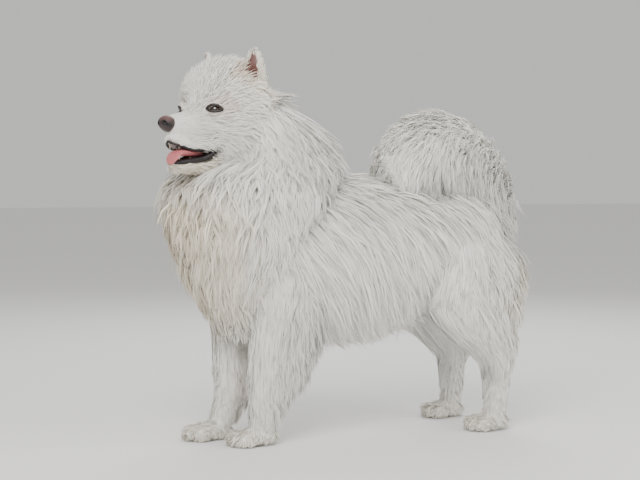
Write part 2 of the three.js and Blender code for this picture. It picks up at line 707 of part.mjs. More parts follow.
for (const [label, side] of [["left", 1], ["right", -1]]) {
  const fore = foreleg(side, side > 0 ? 0 : RIGHT_STEP);
  const feather = [
    { from: 0.42, count: 2, angles: [56, 124], reach: 0.32, width: 66, drop: [0, 10, -16] },
    { from: 0.6, count: 3, angles: [40, 140], reach: 0.3, width: 60, drop: [0, 8, -22] },
    { from: 0.8, count: 2, angles: [60, 120], reach: 0.2, width: 58, drop: [0, -2, -40] },
  ];
  addPart(`forepaw_${label}`, fore.paw, "coat", (swell) => paw(fore.paw, 104, swell));
  addPart(`foreleg_lower_${label}`, fore.lower.middle.getPoint(0), "coat", parted(fore.lower, 0, 1));
  addPart(`foreleg_upper_${label}`, fore.upper.middle.getPoint(0.4), "coat", parted(fore.upper, 0, 1),
    () => rowsOfLocks(fore.upper, feather));
  const hind = hindleg(side);
  const breeches = [
    { from: 0.24, count: 3, angles: [-10, 150], reach: 0.26, width: 92, drop: [0, 0, -8] },
    { from: 0.42, count: 4, angles: [-20, 160], reach: 0.26, width: 88, drop: [0, -4, -12] },
    { from: 0.62, count: 3, angles: [10, 160], reach: 0.22, width: 80, drop: [0, -8, -14] },
    { from: 0.8, count: 2, angles: [60, 120], reach: 0.16, width: 56, drop: [0, -4, -16] },
  ].map((row) => ({ ...row, angles: side > 0 ? row.angles : row.angles.map((a) => 180 - a) }));
  addPart(`hindpaw_${label}`, hind.paw, "coat", (swell) => paw(hind.paw, 96, swell));
  addPart(`hindleg_lower_${label}`, hind.lower.middle.getPoint(0), "coat", parted(hind.lower, 0, 1));
  addPart(`hindleg_upper_${label}`, hind.upper.middle.getPoint(0.4), "coat", parted(hind.upper, 0, 1),
    () => rowsOfLocks(hind.upper, breeches));
}

// A solid's surface with the slivers gone: vertices on one grid point become one vertex, faces that
// shrink to a line are left out, and so are two faces that come to lie back to back.
const GRID = 0.002;
function cleanSurface(solid) {
  const mesh = solid.getMesh();
  const stride = mesh.numProp;
  const ids = new Map();
  const position = [];
  const idOf = [];
  for (let i = 0; i < mesh.numVert; i++) {
    const point = [...mesh.vertProperties.subarray(i * stride, i * stride + 3)];
    const snapped = point.map((x) => Math.round(x / GRID));
    const key = snapped.join();
    if (!ids.has(key)) {
      ids.set(key, ids.size);
      position.push(...snapped.map((x) => x * GRID));
    }
    idOf.push(ids.get(key));
  }
  const faces = new Map();
  for (let i = 0; i < mesh.triVerts.length; i += 3) {
    const face = [...mesh.triVerts.subarray(i, i + 3)].map((v) => idOf[v]);
    const key = [...face].sort((a, b) => a - b).join();
    if (new Set(face).size < 3) continue;
    if (!faces.delete(key)) faces.set(key, face);
  }
  return { position, index: [...faces.values()].flat() };
}

// Whether each edge of the surface lies between exactly two faces
function isClosed({ index }) {
  const uses = new Map();
  for (let i = 0; i < index.length; i += 3)
    for (let j = 0; j < 3; j++) {
      const key = [index[i + j], index[i + ((j + 1) % 3)]].sort((a, b) => a - b).join();
      uses.set(key, (uses.get(key) ?? 0) + 1);
    }
  return [...uses.values()].every((count) => count === 2);
}

// Cores first
const boxesTouch = (a, b) =>
  [0, 1, 2].every((i) => a.min[i] < b.max[i] && b.min[i] < a.max[i]);
const near = (solid, others) => others.filter((o) => boxesTouch(solid.boundingBox(), o.boundingBox()));
const without = (solid, others) => {
  const close = near(solid, others);
  return close.length ? solid.subtract(union(close)) : solid;
};
const MOUTH_PARTS = ["nose", "lower_jaw", "tongue", "eye_left", "eye_right"];
for (const [i, part] of parts.entries()) {
  const inside = MOUTH_PARTS.includes(part.name);
  part.detail = part.core(GAP);
  part.cutter = part.outline(GAP);
  const earlier = parts.slice(0, i).map((p) => (inside ? p.detail : p.cutter));
  part.solid = largest(without(part.core(0), earlier));
}
// Then each node's locks. They are drawn again where two of them meet along one edge, as the node has to
// stay one closed body.
const MOST_DRAWS = 40;
const FIRST_SEED = 100;
const SEED_STEP = 1000; // between one node's seeds and the next one's
for (const [i, part] of parts.entries()) {
  if (!part.grow) continue;
  const others = parts.filter((p) => p !== part).map((p) => p.cutter);
  const earlier = parts.slice(0, i).filter((p) => p.lockCutter).map((p) => p.lockCutter);
  for (let draw = 0; draw < MOST_DRAWS; draw++) {
    seed = SEED_STEP * i + draw + FIRST_SEED;
    const locks = part.grow();
    const build = (swell) =>
      union(locks.map((e) => lock(e.points, e.outward, e.width, e.thick, swell)));
    const solid = largest(part.solid.add(without(build(0), [...others, ...earlier])));
    if (!isClosed(cleanSurface(solid)) && draw < MOST_DRAWS - 1) continue;
    part.solid = solid;
    part.lockCutter = build(LOCK_GAP);
    break;
  }
}

const COLOURS = {
  coat: { color: 0xe9e5da, roughness: 0.95 },
  nose_leather: { color: 0x4a3434, roughness: 0.45 },
  eye: { color: 0x1b110d, roughness: 0.08 },
  tongue: { color: 0xc57f82, roughness: 0.5 },
};

// Each solid becomes a mesh that stands at its own pivot.
const dog = new THREE.Group();
const whole = new THREE.Box3();
for (const part of parts) {
  const { position, index } = cleanSurface(part.solid);
  const geometry = new THREE.BufferGeometry();
  geometry.setAttribute("position", new THREE.Float32BufferAttribute(position, 3));
  geometry.setIndex(index);
  geometry.computeBoundingBox();
  whole.union(geometry.boundingBox);
  geometry.translate(-part.pivot.x, -part.pivot.y, -part.pivot.z);
  geometry.computeVertexNormals();
  const made = new THREE.Mesh(
    geometry,
    new THREE.MeshStandardMaterial({ metalness: 0, ...COLOURS[part.slot] }),
  );
  made.name = part.name;
  made.position.copy(part.pivot);
  dog.add(made);
}
// The origin is on the floor, under the middle of the whole dog.
const middle = whole.getCenter(new THREE.Vector3());
dog.position.set(-middle.x, -middle.y, 0);

export default dog;
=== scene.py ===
"""A life-size samoyed standing still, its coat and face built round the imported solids."""

import math

import bpy
import numpy as np
from bpy.props import FloatProperty, FloatVectorProperty, PointerProperty
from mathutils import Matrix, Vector
from mathutils.kdtree import KDTree


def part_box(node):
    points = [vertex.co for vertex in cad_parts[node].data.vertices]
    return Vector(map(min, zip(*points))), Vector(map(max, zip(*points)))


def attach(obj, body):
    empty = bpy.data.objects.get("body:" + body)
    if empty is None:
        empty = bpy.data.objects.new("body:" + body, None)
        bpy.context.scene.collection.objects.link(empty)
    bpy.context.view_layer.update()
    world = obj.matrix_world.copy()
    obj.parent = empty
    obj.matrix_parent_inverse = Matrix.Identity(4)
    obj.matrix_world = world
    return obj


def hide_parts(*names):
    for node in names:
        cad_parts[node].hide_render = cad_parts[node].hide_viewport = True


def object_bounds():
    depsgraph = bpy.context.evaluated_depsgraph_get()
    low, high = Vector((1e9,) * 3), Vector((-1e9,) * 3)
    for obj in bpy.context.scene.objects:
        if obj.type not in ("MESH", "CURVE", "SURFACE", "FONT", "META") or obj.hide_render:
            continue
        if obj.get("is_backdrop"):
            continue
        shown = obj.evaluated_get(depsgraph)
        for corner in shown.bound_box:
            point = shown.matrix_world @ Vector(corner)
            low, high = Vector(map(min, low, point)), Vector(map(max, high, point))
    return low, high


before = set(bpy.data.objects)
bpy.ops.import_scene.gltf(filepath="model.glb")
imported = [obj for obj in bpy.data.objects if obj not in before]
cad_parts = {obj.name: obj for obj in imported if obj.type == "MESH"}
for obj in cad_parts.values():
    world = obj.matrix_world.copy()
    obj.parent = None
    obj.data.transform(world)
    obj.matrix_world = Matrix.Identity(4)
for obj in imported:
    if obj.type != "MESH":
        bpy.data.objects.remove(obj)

bl_info = {
    "name": "Samoyed",
    "version": (1, 0, 0),
    "blender": (4, 5, 0),
    "location": "View3D > Sidebar > Samoyed",
    "description": "Builds a samoyed with its coat, face and paws",
    "category": "Object",
}

MILLIMETRE = 0.001

# Driving sizes in millimetres, in the dog's own frame: X to its left, -Y ahead, Z up
NOSE_Y = -495.0
MUZZLE_Z = 664.4
HEAD_PIVOT = np.array([0.0, -250.0, 0.0])
HEAD_TURN = math.radians(21)
FOREPAW_FRONT_Y = -320.87  # the left forepaw's foremost point, which places the dog in the frame
RIGHT_STEP = -62.0  # where the right forepaw stands along Y, counted from the left one
FORE_PAW_X, FORE_PAW_Y, FORE_PAW_LENGTH = 52.0, -256.0, 104.0
HIND_PAW_X, HIND_PAW_Y, HIND_PAW_LENGTH = 98.0, 288.0, 96.0
TOE_SPREAD = np.array([-25.0, -9.0, 9.0, 25.0])
TOE_REACH = np.array([-0.27, -0.39, -0.39, -0.27])  # in paw lengths
TOE_Z = 15.0
TOE_RADII = (10.2, 19, 14.5)
CLAW_REACH = 0.23  # in paw lengths, from a toe's middle to its claw's tip
CLAW_Z = 4.0
PAD_LENGTH = 0.39  # in paw lengths
EYE_RADIUS = 12.0
EYE_SHIFT = (-1.0, -3.0, -5.0)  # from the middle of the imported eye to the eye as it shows
GAZE = (0.62, -0.78, 0.06)
EYE_BED_BEHIND, EYE_BED_RADIUS = 3, 10
SOCKET_REACH, SOCKET_RISE, SOCKET_DEPTH, SOCKET_RADIUS = 20.0, 11.0, 4.0, 5.2
RIM_REACH, RIM_RISE, RIM_AHEAD, RIM_RADIUS = 16.5, 9.0, 0.9, 2.7
LID_REACH, LID_RISE = 16.5, 7.5
LID_THICKNESS = 1.6
SKIN_BELOW_EYE = 2.2
SKIN_FLOOR = 0.4
COAT_FLOOR = 1.0

# The ear: its base's place as x, distance behind the nose and rise, and its hollow cup
EAR_BASE = (62.0, 186.0, 68.0)
EAR_HEIGHT = 92.0
EAR_OUTWARD = 30.0  # degrees
EAR_CUP_HEIGHT = 0.86  # in ear heights
EAR_CUP_AHEAD = 13.0
EAR_CUP_LESS = 6.0
CUP_EDGE = 1.0  # how far the ear's fur grows over the edge of the cup's dark colour
CUP_MIDDLE = ([0, 92], [3, 12])
CUP_HALF_WIDTH = ([-10, 20, 60, 88], [15, 20, 14, 3])

# The nose leather, from its own middle: half sizes, the left nostril's path, the groove between the two
NOSE_MIDDLE = (0, 16, 4)
NOSE_RADII = (20, 15.5, 17)
NOSE_WIDENING, NOSE_SLOPE = 0.2, 0.25
NOSTRIL_PATH, NOSTRIL_RADII = [(15.5, -4, -3), (12, -9, -1), (7.5, -15, 3)], (1.6, 3.4, 4.4)
GROOVE_PATH, GROOVE_RADII = [(0, -13, 13), (0, -16.5, 2), (0, -10, -15)], (0.5, 0.9, 0.9)

# The claws, from their tips, and the whiskers: the first one's root, the step to the next, their lengths
CLAW_PATH, CLAW_RADII = [(0, 17, 10), (0, 8, 7.5), (0, 1, 1.5)], (3.4, 2.8, 0.7)
WHISKER_ROWS, WHISKERS_A_ROW, WHISKER_POINTS = 3, 4, 6
WHISKER_ROOT, WHISKER_STEP, WHISKER_LENGTH = (24, 30, -8), (1.5, 11, -8), (32, 52)

# The muzzle's front falls back below the nose
FALL_LENGTH, FALL_START, FALL_DEPTH, FALL_SLOPE = 62, 4, 34, 0.55

# Hair
HIDDEN_SHARE = 0.3  # roots deeper in another part's coat than this grow no hair
STRAY_REACH = 14.0  # how far the loosest tips pass the solids
SHADE_OWN = 0.12  # how much a strand is shaded by its own faces; the rest follows the body
SHADE_ALONG = 0.1
STRAND_FAN = np.array([1.0, 0.9, 0.6, 0.25])  # how far strands spread from the root to the tip
STRAND_UNEVEN = (-0.14, 0.05)  # shares of a tuft's length
STRAND_TWIST = 0.9  # radians
HAIR_STEPS = ((0, -0.05), (0.34, 0.5), (0.68, 0.82), (1, 1.0))  # share of the length, share of the depth
FUR_STEPS = ((0, -0.12), (0.35, 0.55), (0.7, 0.9), (1, 1.0))
LOCK_PULL = np.array([0, 0.35, 0.75, 1.0])  # how far hair bends to its guide from the root to the tip
LOOSE_SHARE = 0.07
UNWRAP_HEIGHT = 830.0  # the height that fills the unwrap of the short fur
PATCH_STEP = np.array([0.0015, 0.001])  # half a tuft's patch across and a third along the unwrap

BACKWARD = (0, 1, 0)
DOWNWARD = (0, 0, -1)
ALL_ROUND = (0, 360)
UNDERSIDE = (200, 340)

WHITE = (0.90, 0.88, 0.835)
# Cream: partly the coat's own tint and partly painted warm shade where it is mixed in
CREAM = (0.86, 0.775, 0.63)
# The undercoat's own tone, also used as painted shade deep in the coat towards the roots
UNDERCOAT_AND_SHADE = (0.84, 0.81, 0.75)
STAIN = (0.47, 0.345, 0.285)
# The ear's cup: its own dark skin, darkened further as painted shade in the hollow
EAR_CUP_SKIN_AND_SHADE = (0.12, 0.042, 0.034)
EAR_FUR = (0.68, 0.55, 0.40)
MOUTH = (0.105, 0.035, 0.035)
EYE_WHITE = (0.62, 0.56, 0.50)
IRIS = (0.045, 0.020, 0.010)
PUPIL = (0.004, 0.003, 0.003)
EYE_RIM = (0.018, 0.012, 0.011)
NOSE_DARK = (0.035, 0.018, 0.018)
# Painted highlight: a lighter pink on the top of the nose leather, where light falls on it
NOSE_PAINTED_HIGHLIGHT = (0.15, 0.07, 0.065)
# Painted shade: near black inside and round the nostrils' holes
NOSTRIL_PAINTED_SHADE = (0.006, 0.004, 0.004)
LIP = (0.010, 0.006, 0.008)
GUM = (0.035, 0.011, 0.014)
TOOTH = (0.72, 0.64, 0.48)
TONGUE_PINK = (0.50, 0.15, 0.16)
CLAW = (0.30, 0.235, 0.185)
WHISKER = (0.7, 0.66, 0.6)
FLOOR = (0.86, 0.86, 0.85)
BACKGROUND = (0.87, 0.865, 0.85)

# The camera stands in the dog's own frame.
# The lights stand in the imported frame, in metres: name, place, target, size, power, colour.
CAMERA_PLACE = (2734.0, -1359.0, 545.0)
CAMERA_WAY = (-0.9063, 0.4226, 0)
CAMERA_LENS, CAMERA_SENSOR, CAMERA_SHIFT_Y = 77.7, 36, -0.086
LIGHTS = (
    ("Key", (2.2, -1.6, 2.6), (0, 0, 0.45), 2.4, 125, (1.0, 0.985, 0.955)),
    ("Fill", (2.2, 2.2, 1.4), (0, 0, 0.4), 2.6, 34, (1.0, 0.99, 0.97)),
    ("Rim", (-2.0, 1.2, 2.4), (0, 0, 0.5), 2.0, 46, (1, 1, 1)),
)
BACKGROUND_STRENGTH = 0.75
FLOOR_REACH = 30.0

# Each row: middle (x, y, z), flesh to the side, above, below, coat to the side, above, below.
# Where a part stands upright, above is behind and below is ahead.
TRUNK = [
    (0, -335, 400.5, 50, 44, 52, 30, 30, 30),
    (0, -285, 412.5, 84, 80, 82, 54, 40, 60),
    (0, -210, 431.5, 106, 110, 108, 62, 44, 84),
    (0, -80, 431.5, 118, 104, 122, 56, 42, 100),
    (0, 30, 432.5, 117, 100, 114, 52, 42, 108),
    (0, 125, 442.5, 104, 90, 92, 54, 44, 108),
    (0, 220, 450.5, 94, 78, 74, 60, 46, 76),
    (0, 290, 442.5, 70, 58, 60, 72, 50, 64),
    (0, 336, 432.5, 34, 28, 32, 46, 40, 40),
]
NECK = [
    (4, -258, 724, 46, 40, 40, 40, 34, 10),
    (4, -250, 690, 60, 54, 48, 74, 66, 14),
    (4, -240, 640, 68, 64, 62, 88, 104, 20),
    (2, -236, 600, 74, 72, 72, 96, 112, 36),
    (0, -234, 565, 78, 78, 84, 102, 110, 104),
    (0, -234, 510, 86, 84, 94, 104, 86, 114),
    (0, -236, 450, 86, 70, 90, 92, 60, 104),
    (0, -240, 390, 76, 56, 74, 82, 44, 94),
    (0, -246, 326, 58, 40, 56, 62, 36, 78),
    (0, -252, 266, 30, 24, 28, 36, 24, 56),
]
HEAD = [
    (0, 18, 0, 11, 13, 20, 2, 2, 3),
    (0, 26, 0, 19, 19, 28, 4, 4, 5),
    (0, 42, 1, 25, 23, 37, 6, 5, 6),
    (0, 66, 3, 29, 27, 39, 8, 6, 7),
    (0, 88, 8, 34, 32, 41, 10, 8, 8),
    (0, 108, 17, 44, 44, 44, 20, 14, 9),
    (0, 132, 26, 58, 66, 80, 36, 24, 46),
    (0, 162, 30, 64, 78, 92, 54, 28, 54),
    (0, 196, 33, 60, 72, 88, 58, 32, 44),
    (0, 226, 35, 40, 48, 60, 32, 28, 26),
]
JAW = [
    (0, 24, -77, 7, 4, 4, 1, 0, 2),
    (0, 34, -80, 14, 9, 8, 3, 1, 3),
    (0, 56, -82, 20, 12, 9, 5, 1, 5),
    (0, 86, -82, 26, 14, 11, 8, 1, 8),
    (0, 112, -81, 34, 16, 13, 12, 1, 12),
    (0, 130, -77, 38, 18, 16, 14, 2, 14),
    (0, 152, -70, 38, 22, 20, 14, 2, 16),
]
TONGUE = [
    (12, 16, -76, 9, 4, 4, 0, 0, 0),
    (13, 20, -66, 18, 5, 6, 0, 0, 0),
    (10, 36, -54, 20, 5, 8, 0, 0, 0),
    (3, 74, -53, 18, 5, 9, 0, 0, 0),
    (0, 112, -53, 15, 6, 9, 0, 0, 0),
]
TAIL = [
    (0, 254, 462, 24, 22, 22, 20, 20, 20),
    (0, 294, 516, 22, 20, 20, 60, 40, 72),
    (4, 286, 572, 19, 18, 18, 82, 56, 92),
    (12, 232, 612, 17, 16, 16, 90, 60, 86),
    (24, 168, 614, 15, 14, 14, 86, 60, 82),
    (38, 110, 594, 12, 12, 12, 76, 46, 70),
    (48, 64, 564, 7, 7, 7, 50, 24, 48),
]
# A foreleg's row: distance to the side, distance behind the paw, share of the step taken back, height,
# then sizes as above
FORELEG = [
    (74, 44, 0.95, 412.5, 42, 58, 54, 30, 30, 30),
    (80, 46, 0.8, 332.5, 40, 52, 44, 34, 60, 28),
    (74, 34, 0.5, 272.5, 34, 38, 32, 34, 84, 22),
    (67, 18, 0.5, 192.5, 26, 28, 26, 28, 92, 14),
    (58, 12, 0.5, 132, 22, 23, 22, 22, 76, 12),
    (56, 11, 0.44, 92, 20, 21, 20, 14, 44, 10),
    (53, 12, 0.24, 54, 20, 21, 20, 9, 18, 8),
    (52, 8, 0.1, 24, 22, 20, 20, 6, 8, 6),
]
HINDLEG = [
    (60, 220, 472.5, 44, 60, 54, 24, 24, 24),
    (78, 220, 397.5, 50, 84, 66, 40, 72, 30),
    (86, 216, 327.5, 48, 84, 62, 42, 92, 36),
    (90, 216, 272.5, 42, 66, 52, 38, 96, 34),
    (94, 250, 216.5, 30, 42, 36, 30, 70, 28),
    (98, 300, 161, 21, 26, 22, 16, 30, 14),
    (98, 306, 123, 19, 21, 20, 10, 12, 10),
    (98, 305, 76, 18, 18, 18, 9, 10, 9),
    (98, 302, 48, 19, 18, 19, 8, 8, 8),
    (98, 297, 22, 21, 19, 19, 6, 6, 6),
]
# Each row: to the ear's side, share of its height, half widths to the side, behind and ahead
EAR = [
    (12, 1.0, 5, 4, 4),
    (11, 0.86, 15, 8, 7),
    (8, 0.5, 28, 14, 12),
    (4, 0.18, 36, 19, 17),
    (0, -0.15, 36, 22, 20),
]
# Points along the lips and the gums: distance to the side, behind the nose, rise
UPPER_LIP = [
    (0, 25, -30),
    (9, 26, -33),
    (18, 33, -38),
    (24, 46, -43),
    (29, 67, -47),
    (33, 88, -46),
    (38, 107, -41),
    (41, 124, -37),
]
LOWER_LIP = [
    (0, 27, -73),
    (9, 29, -73),
    (15, 40, -73),
    (21, 60, -71),
    (28, 84, -67),
    (35, 104, -60),
    (40, 122, -40),
]
UPPER_GUM = [(0, 30, -28), (10, 34, -30), (18, 50, -34), (23, 76, -36), (27, 104, -34), (30, 122, -36)]
LOWER_GUM = [(0, 33, -73), (9, 36, -73), (14, 50, -72), (19, 76, -69), (25, 100, -62), (30, 120, -46)]
UPPER_LIP_RADII = (2.2, 2.8, 3.2, 3.6, 4.0, 4.4, 4.0)
LOWER_LIP_RADII = (2.8, 3.6, 4.2, 4.6, 5.0, 5.4, 4.4)
FLEWS_RADII = (5, 7, 9, 9.5, 9.5, 9, 8)
GUM_RADII = (4, 5, 6, 7, 7, 6)
# Teeth on each side: their root, then how far the tip rises and how thick they are
TEETH = [
    (15, 36, -34, -13, 3.4),
    (21, 62, -38, -6, 3.6),
    (24, 80, -38, -7, 4.2),
    (12, 38, -72, 13, 3.2),
    (18, 62, -70, 7, 3.6),
    (22, 80, -68, 7, 4.2),
    (3, 33, -73, 5, 2.2),
    (7, 34, -73, 5, 2.2),
]
# Ellipsoids in the head: their middle as x, distance behind the nose and rise, then their half sizes
HOLLOWS = {"head": ((0, 78, -58), (17, 60, 24)), "jaw": ((0, 84, -68), (20, 50, 12))}
MOUTH_LININGS = (((0, 122, -50), (34, 26, 22)), ((0, 78, -34), (22, 46, 9)))
MOUTH_SKIN = ((0, 78, -57), (23, 64, 20))
MOUTH_BARE = ((0, 74, -57), (22, 62, 17))
NOSE_BARE = ((0, 8, 7), (16, 14, 14))
LIP_BARE = 4.6
EYE_BARE = 4.2


# Shapes


def unit(v):
    """Vectors brought to a length of one."""
    return v / np.maximum(np.linalg.norm(v, axis=-1, keepdims=True), 1e-9)


def through(rows, t):
    """Points on a smooth curve through rows, at shares t of its length."""
    rows = np.asarray(rows, float)
    p = np.clip(t, 0, 1) * (len(rows) - 1)
    i = np.minimum(p.astype(int), len(rows) - 2)
    w = (p - i)[..., None]
    ends = np.vstack([2 * rows[0] - rows[1], rows, 2 * rows[-1] - rows[-2]])
    a, b, c, d = ends[i], ends[i + 1], ends[i + 2], ends[i + 3]
    start, end = (c - a) / 2, (d - b) / 2
    square, cube = 3 * (c - b) - 2 * start - end, 2 * (b - c) + start + end
    return b + start * w + square * w**2 + cube * w**3


class Loft:
    """A body through rows of sizes; the angle 0 is its left side and 90 its back or upper side."""

    def __init__(self, rows, axis=None, square=2.0, shares=((0, 1), (0.42, 0.42)), turn=None):
        rows = np.asarray(rows, float)
        self.middle, self.flesh, self.coat = rows[:, :3], rows[:, 3:6], rows[:, 6:9]
        self.axis = None if axis is None else np.array(axis, float)
        self.square = square
        self.shares = shares
        self.turn = turn or (lambda p: p)
        fine = through(self.middle, np.linspace(0, 1, 200))
        self.length = np.linalg.norm(np.diff(fine, axis=0), axis=1).sum()

    def skin_share(self, t):
        return np.interp(t, *self.shares)

    def frame(self, t):
        if self.axis is None:
            along = unit(through(self.middle, t + 0.002) - through(self.middle, t - 0.002))
        else:
            along = np.broadcast_to(self.axis, t.shape + (3,))
        side = unit(np.array([1.0, 0, 0]) - along * along[..., :1])
        return side, np.cross(side, along)

    def at(self, t, angle, share):
        """The points at share t of the length, an angle in degrees and a share of the coat's depth."""
        t = np.clip(t, 0, 1)
        side, above = self.frame(t)
        size = through(self.flesh, t) + through(self.coat, t) * np.asarray(share)[..., None]
        a = np.radians(angle)
        n = self.square
        reach = (np.abs(np.cos(a)) ** n + np.abs(np.sin(a)) ** n) ** (-1 / n)
        rise = np.sin(a) * reach
        out = through(self.middle, t)
        out = out + side * (np.cos(a) * reach * size[..., 0])[..., None]
        out = out + above * (rise * np.where(rise > 0, size[..., 1], size[..., 2]))[..., None]
        return self.turn(out)

    def outward(self, t, angle, share):
        t = np.clip(t, 0.02, 0.98)
        along = self.at(t + 0.01, angle, share) - self.at(t - 0.01, angle, share)
        round_ = self.at(t, angle + 2, share) - self.at(t, angle - 2, share)
        return unit(np.cross(along, round_))

    def holds(self, points, share):
        """Which points lie inside the body at a share of its coat's depth."""
        if self.axis is None:
            return np.zeros(len(points), bool)
        fine = np.linspace(0, 1, 400)
        place = through(self.middle, fine)
        k = int(np.argmax(np.abs(self.axis)))
        order = np.argsort(place[:, k])
        t = np.interp(points[:, k], place[order, k], fine[order], left=-1, right=-1)
        off = points - through(self.middle, t)
        side, above = self.frame(t)
        x, y = (off * side).sum(1), (off * above).sum(1)
        size = through(self.flesh, t) + through(self.coat, t) * share
        height = np.where(y > 0, size[:, 1], size[:, 2])
        n = self.square
        return (t >= 0) & ((np.abs(x) / size[:, 0]) ** n + (np.abs(y) / height) ** n < 1)

    def shell(self, sides=40, rings=48, share=None):
        """A closed surface as (points, faces)."""
        t = np.repeat(np.linspace(0, 1, rings), sides)
        angle = np.tile(np.arange(sides) * 360 / sides, rings)
        depth = self.skin_share(t) if share is None else np.full(t.shape, share)
        points = self.at(t, angle, depth)
        ends = self.turn(through(self.middle, np.array([0.0, 1.0])))
        return ring_shell(points.reshape(rings, sides, 3), ends)


def ring_shell(rings, ends):
    """A closed surface from rings of points and a middle point at each end."""
    count, sides = rings.shape[:2]
    faces = []
    for i in range(count - 1):
        for j in range(sides):
            k = (j + 1) % sides
            faces.append((i * sides + j, (i + 1) * sides + j, (i + 1) * sides + k, i * sides + k))
    first = count * sides
    for j in range(sides):
        k = (j + 1) % sides
        faces.append((first, j, k))
        faces.append((first + 1, first - sides + k, first - sides + j))
    return np.vstack([rings.reshape(-1, 3), ends]), faces


def muzzle_set(points):
    """The muzzle's front falls back below the nose; then the head turns."""
    p = np.array(points, float)
    front = np.clip(1 - (p[..., 1] - NOSE_Y) / FALL_LENGTH, 0, 1)
    low = np.clip(MUZZLE_Z - FALL_START - p[..., 2], 0, FALL_DEPTH)
    p[..., 1] += FALL_SLOPE * low * front
    return head_turn(p)


def spun(points, angle):
    """Points turned about the Z axis."""
    c, s = math.cos(angle), math.sin(angle)
    x, y = points[..., 0], points[..., 1]
    return np.stack([c * x - s * y, s * x + c * y, points[..., 2]], -1)


def head_turn(points):
    """From the head's straight frame into the dog's frame."""
    return spun(np.asarray(points, float) - HEAD_PIVOT, HEAD_TURN) + HEAD_PIVOT


def head_straight(points):
    """From the dog's frame into the head's straight frame, as x, distance behind the nose, rise."""
    return spun(np.asarray(points, float) - HEAD_PIVOT, -HEAD_TURN) + HEAD_PIVOT - (0, NOSE_Y, MUZZLE_Z)


def in_head(x, back, rise):
    """A place in the turned head, from its distance behind the nose and its rise."""
    return head_turn(np.array([x, NOSE_Y + back, MUZZLE_Z + rise], float))


def head_rows(rows):
    """Rows of the head's tables in the head's straight frame."""
    return [(x, NOSE_Y + back, MUZZLE_Z + rise, *sizes) for x, back, rise, *sizes in rows]


def ellipsoid(centre, radii, segments=20, rings=12, turn=None):
    """A closed ellipsoid as (points, faces)."""
    lat = np.linspace(0, math.pi, rings + 1)[1:-1]
    lon = np.arange(segments) * 2 * math.pi / segments
    grid = np.stack(
        [
            np.outer(np.sin(lat), np.cos(lon)),
            np.outer(np.sin(lat), np.sin(lon)),
            np.outer(np.cos(lat), np.ones(segments)),
        ],
        -1,
    ) * np.array(radii, float)
    ends = np.array([[0, 0, radii[2]], [0, 0, -radii[2]]], float)
    points, faces = ring_shell(grid, ends)
    points = points + np.array(centre, float)
    return (turn(points) if turn else points), faces


def tube(points, radii, sides=8, steps=16, flat=1.0):
    """A round body along a curve, tapering by radii; flat squashes it across."""
    t = np.linspace(0, 1, steps)
    path = through(points, t)
    along = unit(through(points, t + 0.01) - through(points, t - 0.01))
    guide = np.where(np.abs(along[:, 2:]) < 0.9, [[0.0, 0, 1]], [[0.0, 1, 0]])
    side = unit(np.cross(guide, along))
    above = np.cross(side, along)
    radius = through(np.array(radii, float)[:, None], t)
    a = np.arange(sides) * 2 * math.pi / sides
    rings = path[:, None] + radius[:, None] * (
        np.cos(a)[None, :, None] * side[:, None] + flat * np.sin(a)[None, :, None] * above[:, None]
    )
    return ring_shell(rings, path[[0, -1]])


def head_ellipsoid(centre, radii):
    """An ellipsoid in the head, its middle as x, distance behind the nose and rise."""
    x, back, rise = centre
    return ellipsoid((x, NOSE_Y + back, MUZZLE_Z + rise), radii, turn=head_turn)


def inside(places, centre, radii):
    """Which places lie in an ellipsoid."""
    return (((places - np.array(centre)) / radii) ** 2).sum(-1) < 1


def joined(shells):
    """Several (points, faces) surfaces as one."""
    points, faces, start = [], [], 0
    for p, f in shells:
        points.append(p)
        faces += [tuple(v + start for v in face) for face in f]
        start += len(p)
    return np.vstack(points), faces


# The dog's parts as lofts


def leg_rows(rows, side, step):
    """A foreleg's rows on one side, leaning back by shares of its step."""
    return [(side * x, step + FORE_PAW_Y + y - step * back, *rest) for x, y, back, *rest in rows]


# The skin's share of the coat's depth: places along the loft, then the share there
SHORT_BELOW = ((0, 0.44, 0.62, 1), (0.4, 0.36, 0.0, 0.0))
BARE_AHEAD = ((0, 0.48, 0.68, 1), (0, 0, 0.38, 0.4))
LOFTS = {
    "trunk": Loft(TRUNK, BACKWARD),
    "neck": Loft(NECK, DOWNWARD),
    "head": Loft(head_rows(HEAD), BACKWARD, 2.5, BARE_AHEAD, muzzle_set),
    "jaw": Loft(head_rows(JAW), BACKWARD, 2.3, ((0, 1), (0.1, 0.1)), head_turn),
    "tail": Loft(TAIL, None, 2, ((0, 1), (0.16, 0.16))),
    "foreleg_left": Loft(leg_rows(FORELEG, 1, 0), DOWNWARD, 2, SHORT_BELOW),
    "foreleg_right": Loft(leg_rows(FORELEG, -1, RIGHT_STEP), DOWNWARD, 2, SHORT_BELOW),
    "hindleg_left": Loft(HINDLEG, DOWNWARD, 2, SHORT_BELOW),
    "hindleg_right": Loft([(-x, *rest) for x, *rest in HINDLEG], DOWNWARD, 2, SHORT_BELOW),
}
PAWS = {
    "forepaw_left": ((FORE_PAW_X, FORE_PAW_Y), FORE_PAW_LENGTH),
    "forepaw_right": ((-FORE_PAW_X, FORE_PAW_Y + RIGHT_STEP), FORE_PAW_LENGTH),
    "hindpaw_left": ((HIND_PAW_X, HIND_PAW_Y), HIND_PAW_LENGTH),
    "hindpaw_right": ((-HIND_PAW_X, HIND_PAW_Y), HIND_PAW_LENGTH),
}


def frame_shift():
    """How far the frame's origin lies from the dog's own, in millimetres."""
    left = [np.array(v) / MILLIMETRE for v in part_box("forepaw_left")]
    right = [np.array(v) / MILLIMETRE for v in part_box("forepaw_right")]
    x = (left[0][0] + left[1][0] + right[0][0] + right[1][0]) / 4
    return np.array([x, left[0][1] - FOREPAW_FRONT_Y, 0.0])


SHIFT = frame_shift()


